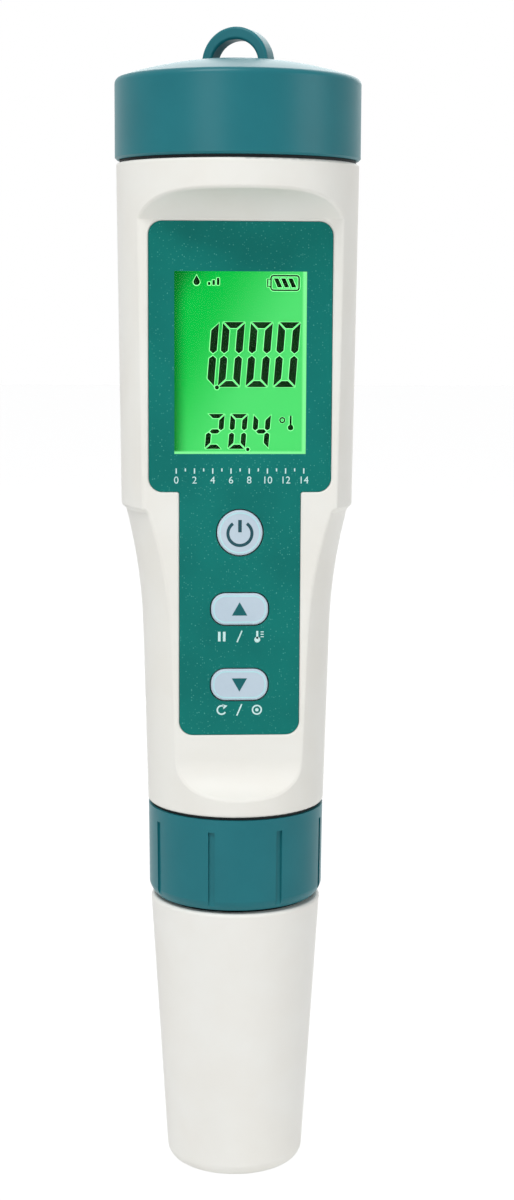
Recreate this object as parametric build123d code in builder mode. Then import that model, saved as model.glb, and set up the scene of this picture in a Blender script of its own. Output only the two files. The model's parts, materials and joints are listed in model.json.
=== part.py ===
"""Pen-shaped water quality tester with a screw battery cap, a keyed front face and a plug-in electrode.

The origin is the centre of the probe cap's base, +Z runs up the axis and the front face looks along -Y.
All sizes are in millimetres. The pieces stack from the base upwards: probe cap, lock ring round the
electrode, housing with the display and keys, and the battery cap with its lanyard loop.
"""

import math
import os

from build123d import *

os.makedirs("parts", exist_ok=True)


# Clearances
running_gap = 0.3
slide_gap = 0.25
seat_gap = 0.05
key_gap = 0.2
pin_gap = 0.06
thread_gap = 0.4
touch = 0.01

# Stack from the base upwards
probe_cap_height = 46.9
rim_gap = 0.6
lock_ring_height = 15.4
seal_groove = 0.5
face_bottom_inset = 8.65
overlay_bottom_margin = 4.45
overlay_narrow_height = 40.0
overlay_wide_height = 43.05
overlay_top_margin = 0.35
face_top_inset = 9.1
battery_cap_skirt = 12.8

ring_foot = probe_cap_height + rim_gap
ring_top = ring_foot + lock_ring_height
housing_foot = ring_top + seal_groove
face_bottom = housing_foot + face_bottom_inset
overlay_foot = face_bottom + overlay_bottom_margin
overlay_shoulder = overlay_foot + overlay_narrow_height
overlay_top = overlay_shoulder + overlay_wide_height
face_top = overlay_top + overlay_top_margin
housing_top = face_top + face_top_inset
cap_foot = housing_top + seal_groove
dome_edge = cap_foot + battery_cap_skirt

# Housing, outside: a taper up to the waist, a concave flare, a small step and the upper taper
top_radius = 19.78
upper_taper = 0.65
waist_inset = 4.18
lower_taper = 0.78
housing_wall = 1.8
flare_radius = 90.0
flare_height = 20.0
shoulder_step = 0.7
shoulder_drop = 2.8
housing_edge_radius = 0.45

shoulder_radius = top_radius - upper_taper
waist_radius = top_radius - waist_inset
foot_radius = waist_radius - lower_taper
shoulder_z = overlay_shoulder - shoulder_drop
flare_top = shoulder_z - shoulder_step
waist_z = flare_top - flare_height
taper_angle = math.atan2(lower_taper, waist_z - housing_foot)


def flare_point(height):
    """Point of the flare's arc, as radius and z, at a height above the waist."""
    turn = math.asin(height / flare_radius + math.sin(taper_angle))
    return waist_radius + flare_radius * (math.cos(taper_angle) - math.cos(turn)), waist_z + height


# Front face: a flat between two coves
face_cut = 8.88
cove_spare = 2.32
lower_cove_radius = 6.0
face_edge_radius = 0.6

face_depth = top_radius - face_cut
upper_cove_radius = face_cut + cove_spare
upper_cove_z = face_top - math.sqrt(upper_cove_radius**2 - (top_radius - face_depth) ** 2)
upper_cove_top = upper_cove_z + upper_cove_radius
lower_cove_turn = math.acos(1 - (waist_radius - face_depth) / lower_cove_radius)
lower_cove_foot = face_bottom - lower_cove_radius * math.sin(lower_cove_turn)

# T-shaped overlay in its recess
overlay_thickness = 0.4
overlay_recess = 0.6
overlay_gap = 0.08
overlay_wide_margin = 1.02
overlay_narrow_margin = 0.24
overlay_corner = 2.2
overlay_inner_corner = 0.35
recess_chamfer = 0.2

overlay_wide_half = math.sqrt(shoulder_radius**2 - face_depth**2) - overlay_wide_margin
overlay_narrow_half = math.sqrt(foot_radius**2 - face_depth**2) - overlay_narrow_margin
recess_floor = face_depth - overlay_recess
front_wall = 1.6
inner_face = recess_floor - front_wall

# Necks that the battery cap and the lock ring screw on
upper_neck_step = 1.58
upper_neck_wall = 1.6
upper_neck_height = 9.6
lower_neck_step = 1.92
lower_neck_wall = 1.9
lower_neck_length = 10.6
neck_floor = 2.0
bore_roof = 1.7
key_notch_width = 4.3
key_notch_depth = 0.8
key_notch_length = 4.6

upper_neck_radius = top_radius - upper_neck_step
upper_bore_radius = upper_neck_radius - upper_neck_wall
lower_neck_radius = foot_radius - lower_neck_step
lower_bore_radius = lower_neck_radius - lower_neck_wall
upper_neck_top = housing_top + upper_neck_height
lower_neck_end = housing_foot - lower_neck_length
inner_floor = housing_foot + neck_floor
bore_floor = upper_cove_top + bore_roof
core_shoulder_rise = 8.0

# Display behind the overlay's window
window_width = 21.2
window_height = 29.1
window_drop = 7.85
window_z = overlay_top - window_drop - window_height / 2
lens_thickness = 0.8
lens_margin = 1.1
lens_side_gap = 0.15
lens_corner = 0.6
glass_thickness = 1.8
lens_end_margin = 1.6
glass_gap = 0.1
glass_inset = 0.1
guide_thickness = 1.9
frame_wall = 1.2
zebra_width = 1.4
led_width = 1.6
led_height = 3.2
led_row_height = 16.4
led_count = 3

lens_front = recess_floor
lens_back = lens_front - lens_thickness
glass_front = lens_back - glass_gap
glass_back = glass_front - glass_thickness
guide_front = glass_back - glass_gap
board_front = guide_front - guide_thickness - glass_gap
lens_width = window_width + 2 * lens_margin
lens_height = window_height + 2 * lens_end_margin
glass_width = lens_width - 2 * glass_inset
glass_height = lens_height

# Keys, each a top that stands through the wall with a flange behind it
key_travel = 0.4
key_proud = 0.15
power_key_radius = 3.7
arrow_key_width = 9.3
arrow_key_height = 5.2
arrow_key_corner = 2.35
key_flange_margin = 0.9
key_flange_thickness = 0.75
key_stem_radius = 1.3
key_edge_radius = 0.3
power_key_drop = 6.65
down_key_rise = 8.35
gasket_thickness = 0.5
gasket_margin = 1.3
switch_size = 4.6
switch_height = 0.9
switch_corner = 0.4
plunger_radius = 1.2
plunger_stroke_gap = 0.15

power_key_z = overlay_shoulder - power_key_drop
down_key_z = overlay_foot + down_key_rise
up_key_z = (power_key_z + down_key_z) / 2
flange_front = inner_face - gasket_thickness - seat_gap
flange_back = flange_front - key_flange_thickness
switch_front = board_front + switch_height
plunger_front = switch_front + key_travel + plunger_stroke_gap
plunger_back = board_front + key_travel + plunger_stroke_gap

# Main board, T-shaped like the face, on four bosses
board_thickness = 1.6
board_wide_margin = 0.66
board_narrow_margin = 2.2
board_top_gap = 1.0
boss_radius = 1.9
boss_upper_side = 3.5
boss_upper_inset = 2.3
boss_lower_side = 2.4
boss_lower_inset = 6.2
board_foot_rise = 6.6
screw_radius = 1.0
screw_head_radius = 1.75
screw_head_height = 1.2
screw_length = 4.4
chip_size = 9.0
chip_corner = 0.5
chip_height = 1.4
chip_leg_rows = 10
chip_leg_pitch = 0.8
chip_leg_length = 1.0
chip_leg_height = 0.5
crystal_length = 8.0
crystal_width = 3.2
crystal_height = 3.0
crystal_rise = 16.0
capacitor_radius = 2.0
capacitor_height = 4.2
capacitor_spacing = 9.6
capacitor_drop = 17.0
amplifier_length = 5.0
amplifier_width = 4.0
amplifier_height = 1.5
amplifier_drop = 34.0
amplifier_pitch = 8.5

board_back = board_front - board_thickness
board_wide_half = math.sqrt(upper_bore_radius**2 - board_front**2) - board_wide_margin
board_narrow_half = math.sqrt((foot_radius - housing_wall) ** 2 - board_front**2) - board_narrow_margin
boss_upper_spread = board_wide_half - boss_upper_side
boss_lower_spread = board_narrow_half - boss_lower_side

# Battery stack: four button cells in two wells under the screw cap
cell_radius = 5.8
cell_height = 5.4
cells_per_well = 2
cell_gap = 0.2
cell_row_y = 2.0
cell_pole_height = 0.5
cell_pole_inset = 1.2
well_web = 1.2
holder_floor = 1.6
holder_wall_top = 0.4
contact_thickness = 0.3
contact_width = 5.0
contact_rise = 1.7
contact_tail = 5.6
holder_screw_spread = 8.5
holder_screw_inset = 5.3

tail_y = board_back - contact_thickness / 2

carrier_top_gap = 0.5
carrier_thickness = 2.2
bridge_thickness = 0.4
bridge_dimple = 0.8
bridge_width = 7.0
bridge_dimple_radius = 1.6
bridge_dimple_taper = 30.0

carrier_top = upper_neck_top - carrier_top_gap
carrier_bottom = carrier_top - carrier_thickness
cell_top = carrier_bottom - bridge_thickness - bridge_dimple - seat_gap
cell_bottom = cell_top - cells_per_well * cell_height
holder_seat = cell_bottom - contact_rise - contact_thickness
holder_bottom = holder_seat - holder_floor
holder_top = cell_top + holder_wall_top
holder_screw_y = holder_screw_inset - upper_bore_radius
board_top = holder_bottom - board_top_gap
board_foot = inner_floor + board_foot_rise - running_gap
boss_upper_z = board_top - boss_upper_inset
boss_lower_z = board_foot + boss_lower_inset
well_spacing = 2 * (cell_radius + cell_gap) + well_web

# Battery cap with its domed top and lanyard loop
cap_overhang = 0.22
cap_edge_radius = 1.1
cap_foot_chamfer = 0.35
dome_radius = 62.0
loop_turn = -25.0
loop_half_width = 5.75
loop_depth = 3.6
loop_rise = 5.05
loop_bar = 2.0
loop_foot_bar = 1.7
loop_edge_radius = 0.45
stud_radius = 3.0
cap_screw_radius = 1.2
cap_screw_head = 2.9
cap_screw_grip = 4.0

cap_radius = top_radius + cap_overhang
cap_skirt_bore = upper_neck_radius + thread_gap
dome_apex = dome_edge + dome_radius - math.sqrt(dome_radius**2 - cap_radius**2)
loop_top = dome_apex + loop_rise
cap_ceiling = upper_neck_top + running_gap

# Lock ring
ring_inset = 0.07
ring_taper = 0.13
ring_nose_step = 0.87
ring_nose_height = 1.6
ring_lip = 1.8
ring_top_chamfer = 0.35
ring_bore_gap = 0.3
groove_count = 8
groove_width = 1.1
groove_depth = 0.45
groove_top_inset = 2.1
groove_start_angle = -108.5
flat_seal_inset = 0.55

ring_radius = foot_radius - ring_inset
ring_foot_radius = ring_radius - ring_taper
ring_nose_radius = ring_foot_radius - ring_nose_step

# Electrode, from its flange down to the slotted guard
flange_height = 2.6
flange_seal_thickness = 0.75
plug_inset = 0.9
plug_length = 9.15
barrel_inset = 3.0
barrel_foot = 8.5
stem_length = 5.0
stem_wall = 1.4
stem_pocket = 3.6
board_sink = 0.4
board_side_gap = 0.1
guard_wall = 1.2
guard_depth = 16.0
guard_slots = 6
guard_slot_width = 3.7
guard_slot_height = 8.4
guard_foot_ring = 1.8
oring_thickness = 1.7
oring_rise = 4.2
oring_gap = 0.08

plug_radius = lower_neck_radius - plug_inset
barrel_radius = plug_radius - barrel_inset
lip_top = ring_foot + ring_lip
flange_bottom = lip_top + 2 * seat_gap
flange_top = flange_bottom + flange_height
flange_radius = lower_neck_radius + seat_gap
lip_bore = plug_radius + slide_gap
stem_radius = lower_bore_radius - running_gap
stem_top = flange_top + stem_length
plug_foot = probe_cap_height - plug_length + running_gap
guard_bore = barrel_radius - guard_wall
guard_top = barrel_foot + guard_depth
oring_z = plug_foot + oring_rise

# Sensors in the electrode's head
head_thickness = 4.0
bulb_radius = 3.4
bulb_tube_radius = 2.8
bulb_tip_rise = 1.6
sensor_circle = 5.7
probe_pin_radius = 0.9
probe_pin_length = 7.2
orp_radius = 1.1
sensor_tube_radius = 1.3
sensor_tube_length = 8.6
junction_radius = 1.2
junction_length = 1.0

head_bottom = guard_top - head_thickness

# Electrode plug and its socket
contact_count = 5
contact_pitch = 2.2
contact_radius = 0.4
electrode_board_thickness = 1.2
socket_width = 13.4
socket_depth = 4.6
socket_height = 4.4
socket_hole_margin = 1.0
socket_corner = 0.5
link_pin_radius = 0.3
link_strip_height = 2.5

electrode_board_top = stem_top - board_sink
electrode_board_radius = stem_radius - stem_wall - board_side_gap
socket_board_top = inner_floor + electrode_board_thickness
socket_bottom = inner_floor - socket_height
contact_top = inner_floor - socket_hole_margin

# Probe cap
cap_rim_inset = 0.47
cap_taper = 2.9
cap_base_fillet = 2.2
cap_rim_fillet = 0.5
probe_cap_wall = 2.0
probe_cap_floor = 2.2
sponge_height = 4.6
sponge_gap = 0.3

cap_rim_radius = foot_radius - cap_rim_inset
cap_base_radius = cap_rim_radius - cap_taper
cap_bore = plug_radius + slide_gap
cap_draft = cap_taper / probe_cap_height
cap_ledge = plug_foot - seat_gap


def finish(piece, label):
    """Names a finished piece and writes its STEP file."""
    piece.part.label = label
    export_step(piece.part, f"parts/{label}.step")


def rings(piece, *heights):
    """Circular edges of a piece that lie level at the given heights."""
    circles = piece.edges().filter_by(GeomType.CIRCLE)
    return [edge for edge in circles if any(abs(edge.center().Z - height) < touch for height in heights)]


def overlay_outline(grow):
    """T-shaped outline of the overlay, grown all round by a gap."""
    top = overlay_top + grow
    foot = overlay_foot - grow
    shoulder = overlay_shoulder - grow
    wide = overlay_wide_half + grow
    narrow = overlay_narrow_half + grow
    corners = [(-wide, top), (-wide, shoulder), (-narrow, shoulder), (-narrow, foot)]
    mirrored = [(-x, z) for x, z in reversed(corners)]
    with BuildSketch() as outline:
        with BuildLine():
            Polyline(*corners, *mirrored, close=True)
        make_face()
        inner = outline.vertices().filter_by(lambda v: abs(abs(v.X) - narrow) < touch and v.Y > foot + touch)
        outer = [v for v in outline.vertices() if v not in inner]
        fillet(outer, overlay_corner + grow)
        fillet(outline.vertices().filter_by(lambda v: abs(abs(v.X) - narrow) < touch
                                            and abs(v.Y - shoulder) < touch), overlay_inner_corner)
    return outline.sketch


def key_outline(name, grow):
    """Outline of one key about its own centre, grown all round by a gap."""
    with BuildSketch() as outline:
        if name == "power_key":
            Circle(power_key_radius + grow)
        else:
            RectangleRounded(
                arrow_key_width + 2 * grow,
                arrow_key_height + 2 * grow,
                arrow_key_corner + grow,
            )
    return outline.sketch


key_centres = {"power_key": power_key_z, "up_key": up_key_z, "down_key": down_key_z}
boss_centres = [(side * boss_upper_spread, boss_upper_z) for side in (-1, 1)]
boss_centres += [(side * boss_lower_spread, boss_lower_z) for side in (-1, 1)]
holder_screws = [(side * holder_screw_spread, holder_screw_y) for side in (-1, 1)]
well_centres = [(side * well_spacing / 2, cell_row_y) for side in (-1, 1)]


# Inside of the housing: the lower room, the cone under the shoulder and the upper bore, cut flat in front
with BuildPart() as cavity:
    with BuildSketch(Plane.XZ):
        with BuildLine():
            Polyline(
                (0, inner_floor),
                (foot_radius - housing_wall, inner_floor),
                (waist_radius - housing_wall, waist_z + core_shoulder_rise),
                (upper_bore_radius, shoulder_z + housing_wall),
                (upper_bore_radius, bore_floor),
                (0, bore_floor),
                close=True,
            )
        make_face()
    revolve(axis=Axis.Z)
    split(bisect_by=Plane.XZ.offset(inner_face), keep=Keep.BOTTOM)
    with BuildSketch(Plane.XY.offset(bore_floor)):
        Circle(upper_bore_radius)
    extrude(amount=upper_neck_top - bore_floor)
    with BuildSketch(Plane.XY.offset(lower_neck_end)):
        Circle(lower_bore_radius)
    extrude(amount=inner_floor - lower_neck_end)

# Housing shell
with BuildPart() as housing:
    with BuildSketch(Plane.XZ) as profile:
        with BuildLine():
            Polyline((0, housing_foot), (foot_radius, housing_foot), (waist_radius, waist_z))
            ThreePointArc(flare_point(0), flare_point(flare_height / 2), flare_point(flare_height))
            Polyline(
                flare_point(flare_height),
                (shoulder_radius, shoulder_z),
                (top_radius, housing_top),
                (0, housing_top),
                (0, housing_foot),
            )
        make_face()
        shoulder = profile.vertices().filter_by(lambda corner: abs(corner.Y - shoulder_z) < touch)
        fillet(shoulder, housing_edge_radius)
    revolve(axis=Axis.Z)
    # Front face with its coves
    with BuildSketch(Plane.YZ):
        with BuildLine():
            Line((-face_depth, face_bottom), (-face_depth, face_top))
            CenterArc((-top_radius, upper_cove_z), upper_cove_radius,
                      math.degrees(math.atan2(face_top - upper_cove_z, top_radius - face_depth)),
                      90 - math.degrees(math.atan2(face_top - upper_cove_z, top_radius - face_depth)))
            Polyline(
                (-top_radius, upper_cove_top),
                (-2 * top_radius, upper_cove_top),
                (-2 * top_radius, lower_cove_foot),
                (-waist_radius, lower_cove_foot),
            )
            CenterArc((-face_depth - lower_cove_radius, face_bottom), lower_cove_radius,
                      -math.degrees(lower_cove_turn), math.degrees(lower_cove_turn))
        make_face()
    extrude(amount=cap_radius, both=True, mode=Mode.SUBTRACT)
    outline_edges = [edge for edge in housing.edges(Select.LAST)
                     if edge.center().Y < touch - face_depth
                     and not (edge.geom_type == GeomType.LINE and abs(edge.tangent_at(0).X) > 0.99)]
    fillet(outline_edges, face_edge_radius)
    fillet(rings(housing, housing_foot, housing_top), housing_edge_radius)

    # Necks
    with BuildSketch(Plane.XY.offset(housing_top)):
        Circle(upper_neck_radius)
    extrude(amount=upper_neck_height)
    with BuildSketch(Plane.XY.offset(lower_neck_end)):
        Circle(lower_neck_radius)
    extrude(amount=lower_neck_length)

    # Overlay recess, then the inside
    with BuildSketch(Plane.XZ.offset(recess_floor)):
        add(overlay_outline(overlay_gap))
    extrude(amount=2 * overlay_recess, mode=Mode.SUBTRACT)
    recess_rim = housing.edges(Select.LAST).filter_by(
        lambda edge: abs(edge.center().Y + face_depth) < touch)
    chamfer(recess_rim, recess_chamfer)
    add(cavity.part, mode=Mode.SUBTRACT)

    # Window and key holes through the front wall
    with BuildSketch(Plane.XZ.offset(inner_face)):
        with Locations((0, window_z)):
            RectangleRounded(lens_width + 2 * lens_side_gap, lens_height + 2 * lens_side_gap, lens_corner)
        for name, height in key_centres.items():
            with Locations((0, height)):
                add(key_outline(name, key_gap))
    extrude(amount=front_wall, mode=Mode.SUBTRACT)

    # Bosses for the board's screws and holes for the holder's screws
    with BuildSketch(Plane.XZ.offset(board_front)):
        with Locations(*boss_centres):
            Circle(boss_radius)
    extrude(amount=inner_face - board_front)
    with BuildSketch(Plane.XZ.offset(board_front)):
        with Locations(*boss_centres):
            Circle(screw_radius)
    extrude(amount=screw_length - board_thickness + seat_gap, mode=Mode.SUBTRACT)
    with BuildSketch(Plane.XY.offset(bore_floor)):
        with Locations(*holder_screws):
            Circle(screw_radius)
    extrude(amount=-(screw_length - holder_floor), mode=Mode.SUBTRACT)

    # Notches that keep the contact carrier from turning
    with BuildSketch(Plane.XY.offset(upper_neck_top - key_notch_length)):
        Rectangle(2 * (upper_bore_radius + key_notch_depth), key_notch_width)
    extrude(amount=key_notch_length, mode=Mode.SUBTRACT)
finish(housing, "housing")

# T-shaped overlay, bonded in the recess, with the window and key holes cut through
with BuildPart() as front_overlay:
    with BuildSketch(Plane.XZ.offset(recess_floor)):
        add(overlay_outline(0))
        with Locations((0, window_z)):
            Rectangle(window_width, window_height, mode=Mode.SUBTRACT)
        for name, height in key_centres.items():
            with Locations((0, height)):
                add(key_outline(name, key_gap), mode=Mode.SUBTRACT)
    extrude(amount=overlay_thickness)
finish(front_overlay, "front_overlay")

# Clear lens in the wall's window, behind the overlay
with BuildPart() as display_window:
    with BuildSketch(Plane.XZ.offset(lens_back)):
        with Locations((0, window_z)):
            RectangleRounded(lens_width, lens_height, lens_corner)
    extrude(amount=lens_thickness)
finish(display_window, "display_window")

# Display glass: the front plate stands past the rear plate at the contact ledge
with BuildPart() as lcd_panel:
    with BuildSketch(Plane.XZ.offset(glass_back + glass_thickness / 2)):
        with Locations((0, window_z)):
            Rectangle(glass_width, glass_height)
    extrude(amount=glass_thickness / 2)
    with BuildSketch(Plane.XZ.offset(glass_back)):
        with Locations((0, window_z)):
            Rectangle(glass_width, glass_height - 2 * zebra_width)
    extrude(amount=glass_thickness / 2)
finish(lcd_panel, "lcd_panel")

# Frame round the glass and the light guide, with a front lip that the wall's inside presses on
frame_width = glass_width + 2 * frame_wall + 2 * glass_gap
frame_height = glass_height + 2 * frame_wall + 2 * glass_gap
with BuildPart() as lcd_frame:
    with BuildSketch(Plane.XZ.offset(board_front)):
        with Locations((0, window_z)):
            RectangleRounded(frame_width, frame_height, lens_corner)
            Rectangle(glass_width + 2 * glass_gap, glass_height + 2 * glass_gap, mode=Mode.SUBTRACT)
    extrude(amount=inner_face - board_front - seat_gap)
finish(lcd_frame, "lcd_frame")

# Light guide with its three lamps along the right-hand edge
led_strip = led_width + 2 * glass_gap
guide_height = glass_height - 2 * zebra_width - 2 * glass_gap
with BuildPart() as backlight_guide:
    with BuildSketch(Plane.XZ.offset(board_front + seat_gap)):
        with Locations((-led_strip / 2, window_z)):
            Rectangle(glass_width - led_strip, guide_height)
    extrude(amount=guide_thickness)
finish(backlight_guide, "backlight_guide")

with BuildPart() as backlight_leds:
    with BuildSketch(Plane.XZ.offset(board_front)):
        with Locations((glass_width / 2 - led_width / 2, window_z)):
            with GridLocations(0, led_row_height / (led_count - 1), 1, led_count):
                Rectangle(led_width, led_height)
    extrude(amount=guide_thickness - glass_gap)
finish(backlight_leds, "backlight_leds")

# Conductive rubber strips between the glass ledges and the board
with BuildPart() as zebra_strips:
    with BuildSketch(Plane.XZ.offset(board_front)):
        with Locations((0, window_z)):
            with GridLocations(0, glass_height - zebra_width, 1, 2):
                Rectangle(glass_width, zebra_width)
    extrude(amount=glass_back + glass_thickness / 2 - board_front)
finish(zebra_strips, "zebra_strips")

# Main board, T-shaped like the face it serves
with BuildPart() as main_board:
    with BuildSketch(Plane.XZ.offset(board_back)):
        with BuildLine():
            corners = [
                (-board_wide_half, board_top),
                (-board_wide_half, shoulder_z + housing_wall),
                (-board_narrow_half, shoulder_z - core_shoulder_rise),
                (-board_narrow_half, board_foot),
            ]
            Polyline(*corners, *[(-x, z) for x, z in reversed(corners)], close=True)
        make_face()
        with Locations(*boss_centres):
            Circle(screw_radius + running_gap / 2, mode=Mode.SUBTRACT)
    extrude(amount=board_thickness)
finish(main_board, "main_board")

# Controller on the back of the board, with its rows of legs
with BuildPart() as controller_chip:
    with BuildSketch(Plane.XZ.offset(board_back)):
        with Locations((0, window_z)):
            RectangleRounded(chip_size, chip_size, chip_corner)
    extrude(amount=-chip_height)
    with BuildSketch(Plane.XZ.offset(board_back)):
        with Locations((0, window_z)):
            with GridLocations(0, chip_leg_pitch, 1, chip_leg_rows):
                Rectangle(chip_size + 2 * chip_leg_length, chip_leg_pitch / 2)
            with GridLocations(chip_leg_pitch, 0, chip_leg_rows, 1):
                Rectangle(chip_leg_pitch / 2, chip_size + 2 * chip_leg_length)
    extrude(amount=-chip_leg_height)
finish(controller_chip, "controller_chip")

# Crystal, capacitors and input amplifiers on the back of the board
with BuildPart() as board_components:
    with BuildSketch(Plane.XZ.offset(board_back)):
        with Locations((0, window_z + crystal_rise)):
            SlotOverall(crystal_length, crystal_width)
    extrude(amount=-crystal_height)
    with BuildSketch(Plane.XZ.offset(board_back)):
        with Locations((0, window_z - capacitor_drop)):
            with GridLocations(capacitor_spacing, 0, 2, 1):
                Circle(capacitor_radius)
    extrude(amount=-capacitor_height)
    with BuildSketch(Plane.XZ.offset(board_back)):
        with Locations((0, window_z - amplifier_drop)):
            with GridLocations(0, amplifier_pitch, 1, 3):
                Rectangle(amplifier_width, amplifier_length)
    extrude(amount=-amplifier_height)
finish(board_components, "board_components")

# Switch bodies on the board, one behind each key
with BuildPart() as tact_switches:
    for height in key_centres.values():
        with BuildSketch(Plane.XZ.offset(board_front)):
            with Locations((0, height)):
                RectangleRounded(switch_size, switch_size, switch_corner)
                Circle(plunger_radius + key_gap, mode=Mode.SUBTRACT)
        extrude(amount=switch_height)
finish(tact_switches, "tact_switches")

# Keys and the switch plungers that they push
for name, height in key_centres.items():
    with BuildPart() as key_top:
        with BuildSketch(Plane.XZ.offset(flange_front)):
            with Locations((0, height)):
                add(key_outline(name, 0))
        extrude(amount=face_depth + key_proud - overlay_recess + overlay_thickness - flange_front)
        fillet(key_top.faces().sort_by(Axis.Y)[0].edges(), key_edge_radius)
        with BuildSketch(Plane.XZ.offset(flange_back)):
            with Locations((0, height)):
                add(key_outline(name, key_flange_margin))
        extrude(amount=key_flange_thickness)
        with BuildSketch(Plane.XZ.offset(plunger_front)):
            with Locations((0, height)):
                Circle(key_stem_radius)
        extrude(amount=flange_back - plunger_front)
    finish(key_top, name)
    with BuildPart() as plunger:
        with BuildSketch(Plane.XZ.offset(plunger_back)):
            with Locations((0, height)):
                Circle(plunger_radius)
        extrude(amount=plunger_front - plunger_back)
    finish(plunger, name.replace("key", "plunger"))

# Rubber gasket between the wall and the key flanges
gasket_top = power_key_z + power_key_radius + gasket_margin
gasket_foot = down_key_z - arrow_key_height / 2 - gasket_margin
with BuildPart() as key_gasket:
    with BuildSketch(Plane.XZ.offset(inner_face - gasket_thickness)):
        with Locations((0, (gasket_top + gasket_foot) / 2)):
            RectangleRounded(
                arrow_key_width + 2 * gasket_margin,
                gasket_top - gasket_foot,
                arrow_key_corner,
            )
        for name, height in key_centres.items():
            with Locations((0, height)):
                add(key_outline(name, key_gap), mode=Mode.SUBTRACT)
    extrude(amount=gasket_thickness)
finish(key_gasket, "key_gasket")

# Battery holder: a D-shaped body with two wells, and a round top that is screwed down on the bore's floor
with BuildPart() as battery_holder:
    with BuildSketch(Plane.XY.offset(holder_bottom)):
        Circle(upper_bore_radius - running_gap)
    extrude(amount=bore_floor + seat_gap - holder_bottom)
    split(bisect_by=Plane.XZ.offset(inner_face - running_gap), keep=Keep.BOTTOM)
    with BuildSketch(Plane.XY.offset(bore_floor + seat_gap)):
        Circle(upper_bore_radius - running_gap)
    extrude(amount=holder_top - bore_floor - seat_gap)
    with BuildSketch(Plane.XY.offset(holder_seat)):
        with Locations(*well_centres):
            Circle(cell_radius + cell_gap)
    extrude(amount=holder_top - holder_seat, mode=Mode.SUBTRACT)
    with BuildSketch(Plane.XY.offset(holder_bottom)):
        with Locations(*[(x, -tail_y) for x, y in well_centres]):
            Rectangle(contact_width + cell_gap, 2 * contact_thickness)
    extrude(amount=holder_floor + 2 * contact_thickness, mode=Mode.SUBTRACT)
    with BuildSketch(Plane.XY.offset(bore_floor + holder_floor)):
        with Locations(*holder_screws):
            Circle(screw_head_radius + cell_gap)
    extrude(amount=holder_top - bore_floor - holder_floor, mode=Mode.SUBTRACT)
    with BuildSketch(Plane.XY.offset(bore_floor)):
        with Locations(*holder_screws):
            Circle(screw_radius + cell_gap)
    extrude(amount=holder_floor, mode=Mode.SUBTRACT)
finish(battery_holder, "battery_holder")

# Four button cells, each a can with a smaller negative pole on one end
with BuildPart() as button_cells:
    for centre in well_centres:
        polarity = 1 if centre[0] > 0 else -1
        for layer in range(cells_per_well):
            floor = cell_bottom + layer * cell_height
            can_floor = floor if polarity > 0 else floor + cell_pole_height
            pole_floor = floor + cell_height - cell_pole_height if polarity > 0 else floor
            with BuildSketch(Plane.XY.offset(can_floor + seat_gap)):
                with Locations(centre):
                    Circle(cell_radius)
            extrude(amount=cell_height - cell_pole_height - seat_gap)
            with BuildSketch(Plane.XY.offset(pole_floor + (0 if polarity > 0 else seat_gap))):
                with Locations(centre):
                    Circle(cell_radius - cell_pole_inset)
            extrude(amount=cell_pole_height)
finish(button_cells, "button_cells")

# Leaf contacts under the cells, with tails that run down to the back of the board
with BuildPart() as battery_contacts:
    for x, y in well_centres:
        with BuildSketch(Plane.YZ.offset(x)):
            with BuildLine():
                Polyline(
                    (-tail_y, holder_seat - contact_tail),
                    (-tail_y, holder_seat + contact_thickness / 2),
                    (y + cell_radius - 2 * contact_rise, holder_seat + contact_thickness / 2),
                    (y - contact_rise, cell_bottom - contact_thickness / 2),
                    (y - 2 * contact_rise, cell_bottom - contact_thickness),
                )
                offset(amount=contact_thickness / 2 - seat_gap / 2, kind=Kind.INTERSECTION)
            make_face()
        extrude(amount=contact_width / 2, both=True)
finish(battery_contacts, "battery_contacts")

# Carrier in the cap's mouth, keyed in the neck so that it rises without turning
with BuildPart() as contact_carrier:
    with BuildSketch(Plane.XY.offset(carrier_bottom)):
        Circle(upper_bore_radius - running_gap)
        Rectangle(2 * (upper_bore_radius + key_notch_depth - slide_gap), key_notch_width - 2 * slide_gap)
        Circle(cap_screw_radius + pin_gap, mode=Mode.SUBTRACT)
    extrude(amount=carrier_thickness)
    with BuildSketch(Plane.XY.offset(carrier_bottom)):
        Circle(cap_screw_head + slide_gap)
    extrude(amount=carrier_thickness / 2, mode=Mode.SUBTRACT)
finish(contact_carrier, "contact_carrier")

# Bridge under the carrier, with a dimple down to each stack of cells
with BuildPart() as bridge_contact:
    with BuildSketch(Plane.XY.offset(carrier_bottom - bridge_thickness)):
        RectangleRounded(well_spacing + bridge_width, bridge_width, bridge_width / 2 - seat_gap)
        Circle(cap_screw_head + slide_gap, mode=Mode.SUBTRACT)
    extrude(amount=bridge_thickness)
    with BuildSketch(Plane.XY.offset(carrier_bottom - bridge_thickness)):
        with Locations((-well_spacing / 2, 0), (well_spacing / 2, 0)):
            Circle(bridge_dimple_radius)
    extrude(amount=-bridge_dimple, taper=bridge_dimple_taper)
finish(bridge_contact, "bridge_contact")

# Screw that holds the carrier on the cap's stud and lets the cap turn on it
with BuildPart() as carrier_screw:
    with BuildSketch(Plane.XY.offset(carrier_bottom + carrier_thickness / 2 - seat_gap)):
        Circle(cap_screw_head)
    extrude(amount=-screw_head_height + bridge_thickness)
    with BuildSketch(Plane.XY.offset(carrier_bottom + carrier_thickness / 2 - seat_gap)):
        Circle(cap_screw_radius)
    extrude(amount=carrier_thickness / 2 + cap_screw_grip)
finish(carrier_screw, "carrier_screw")

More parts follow.
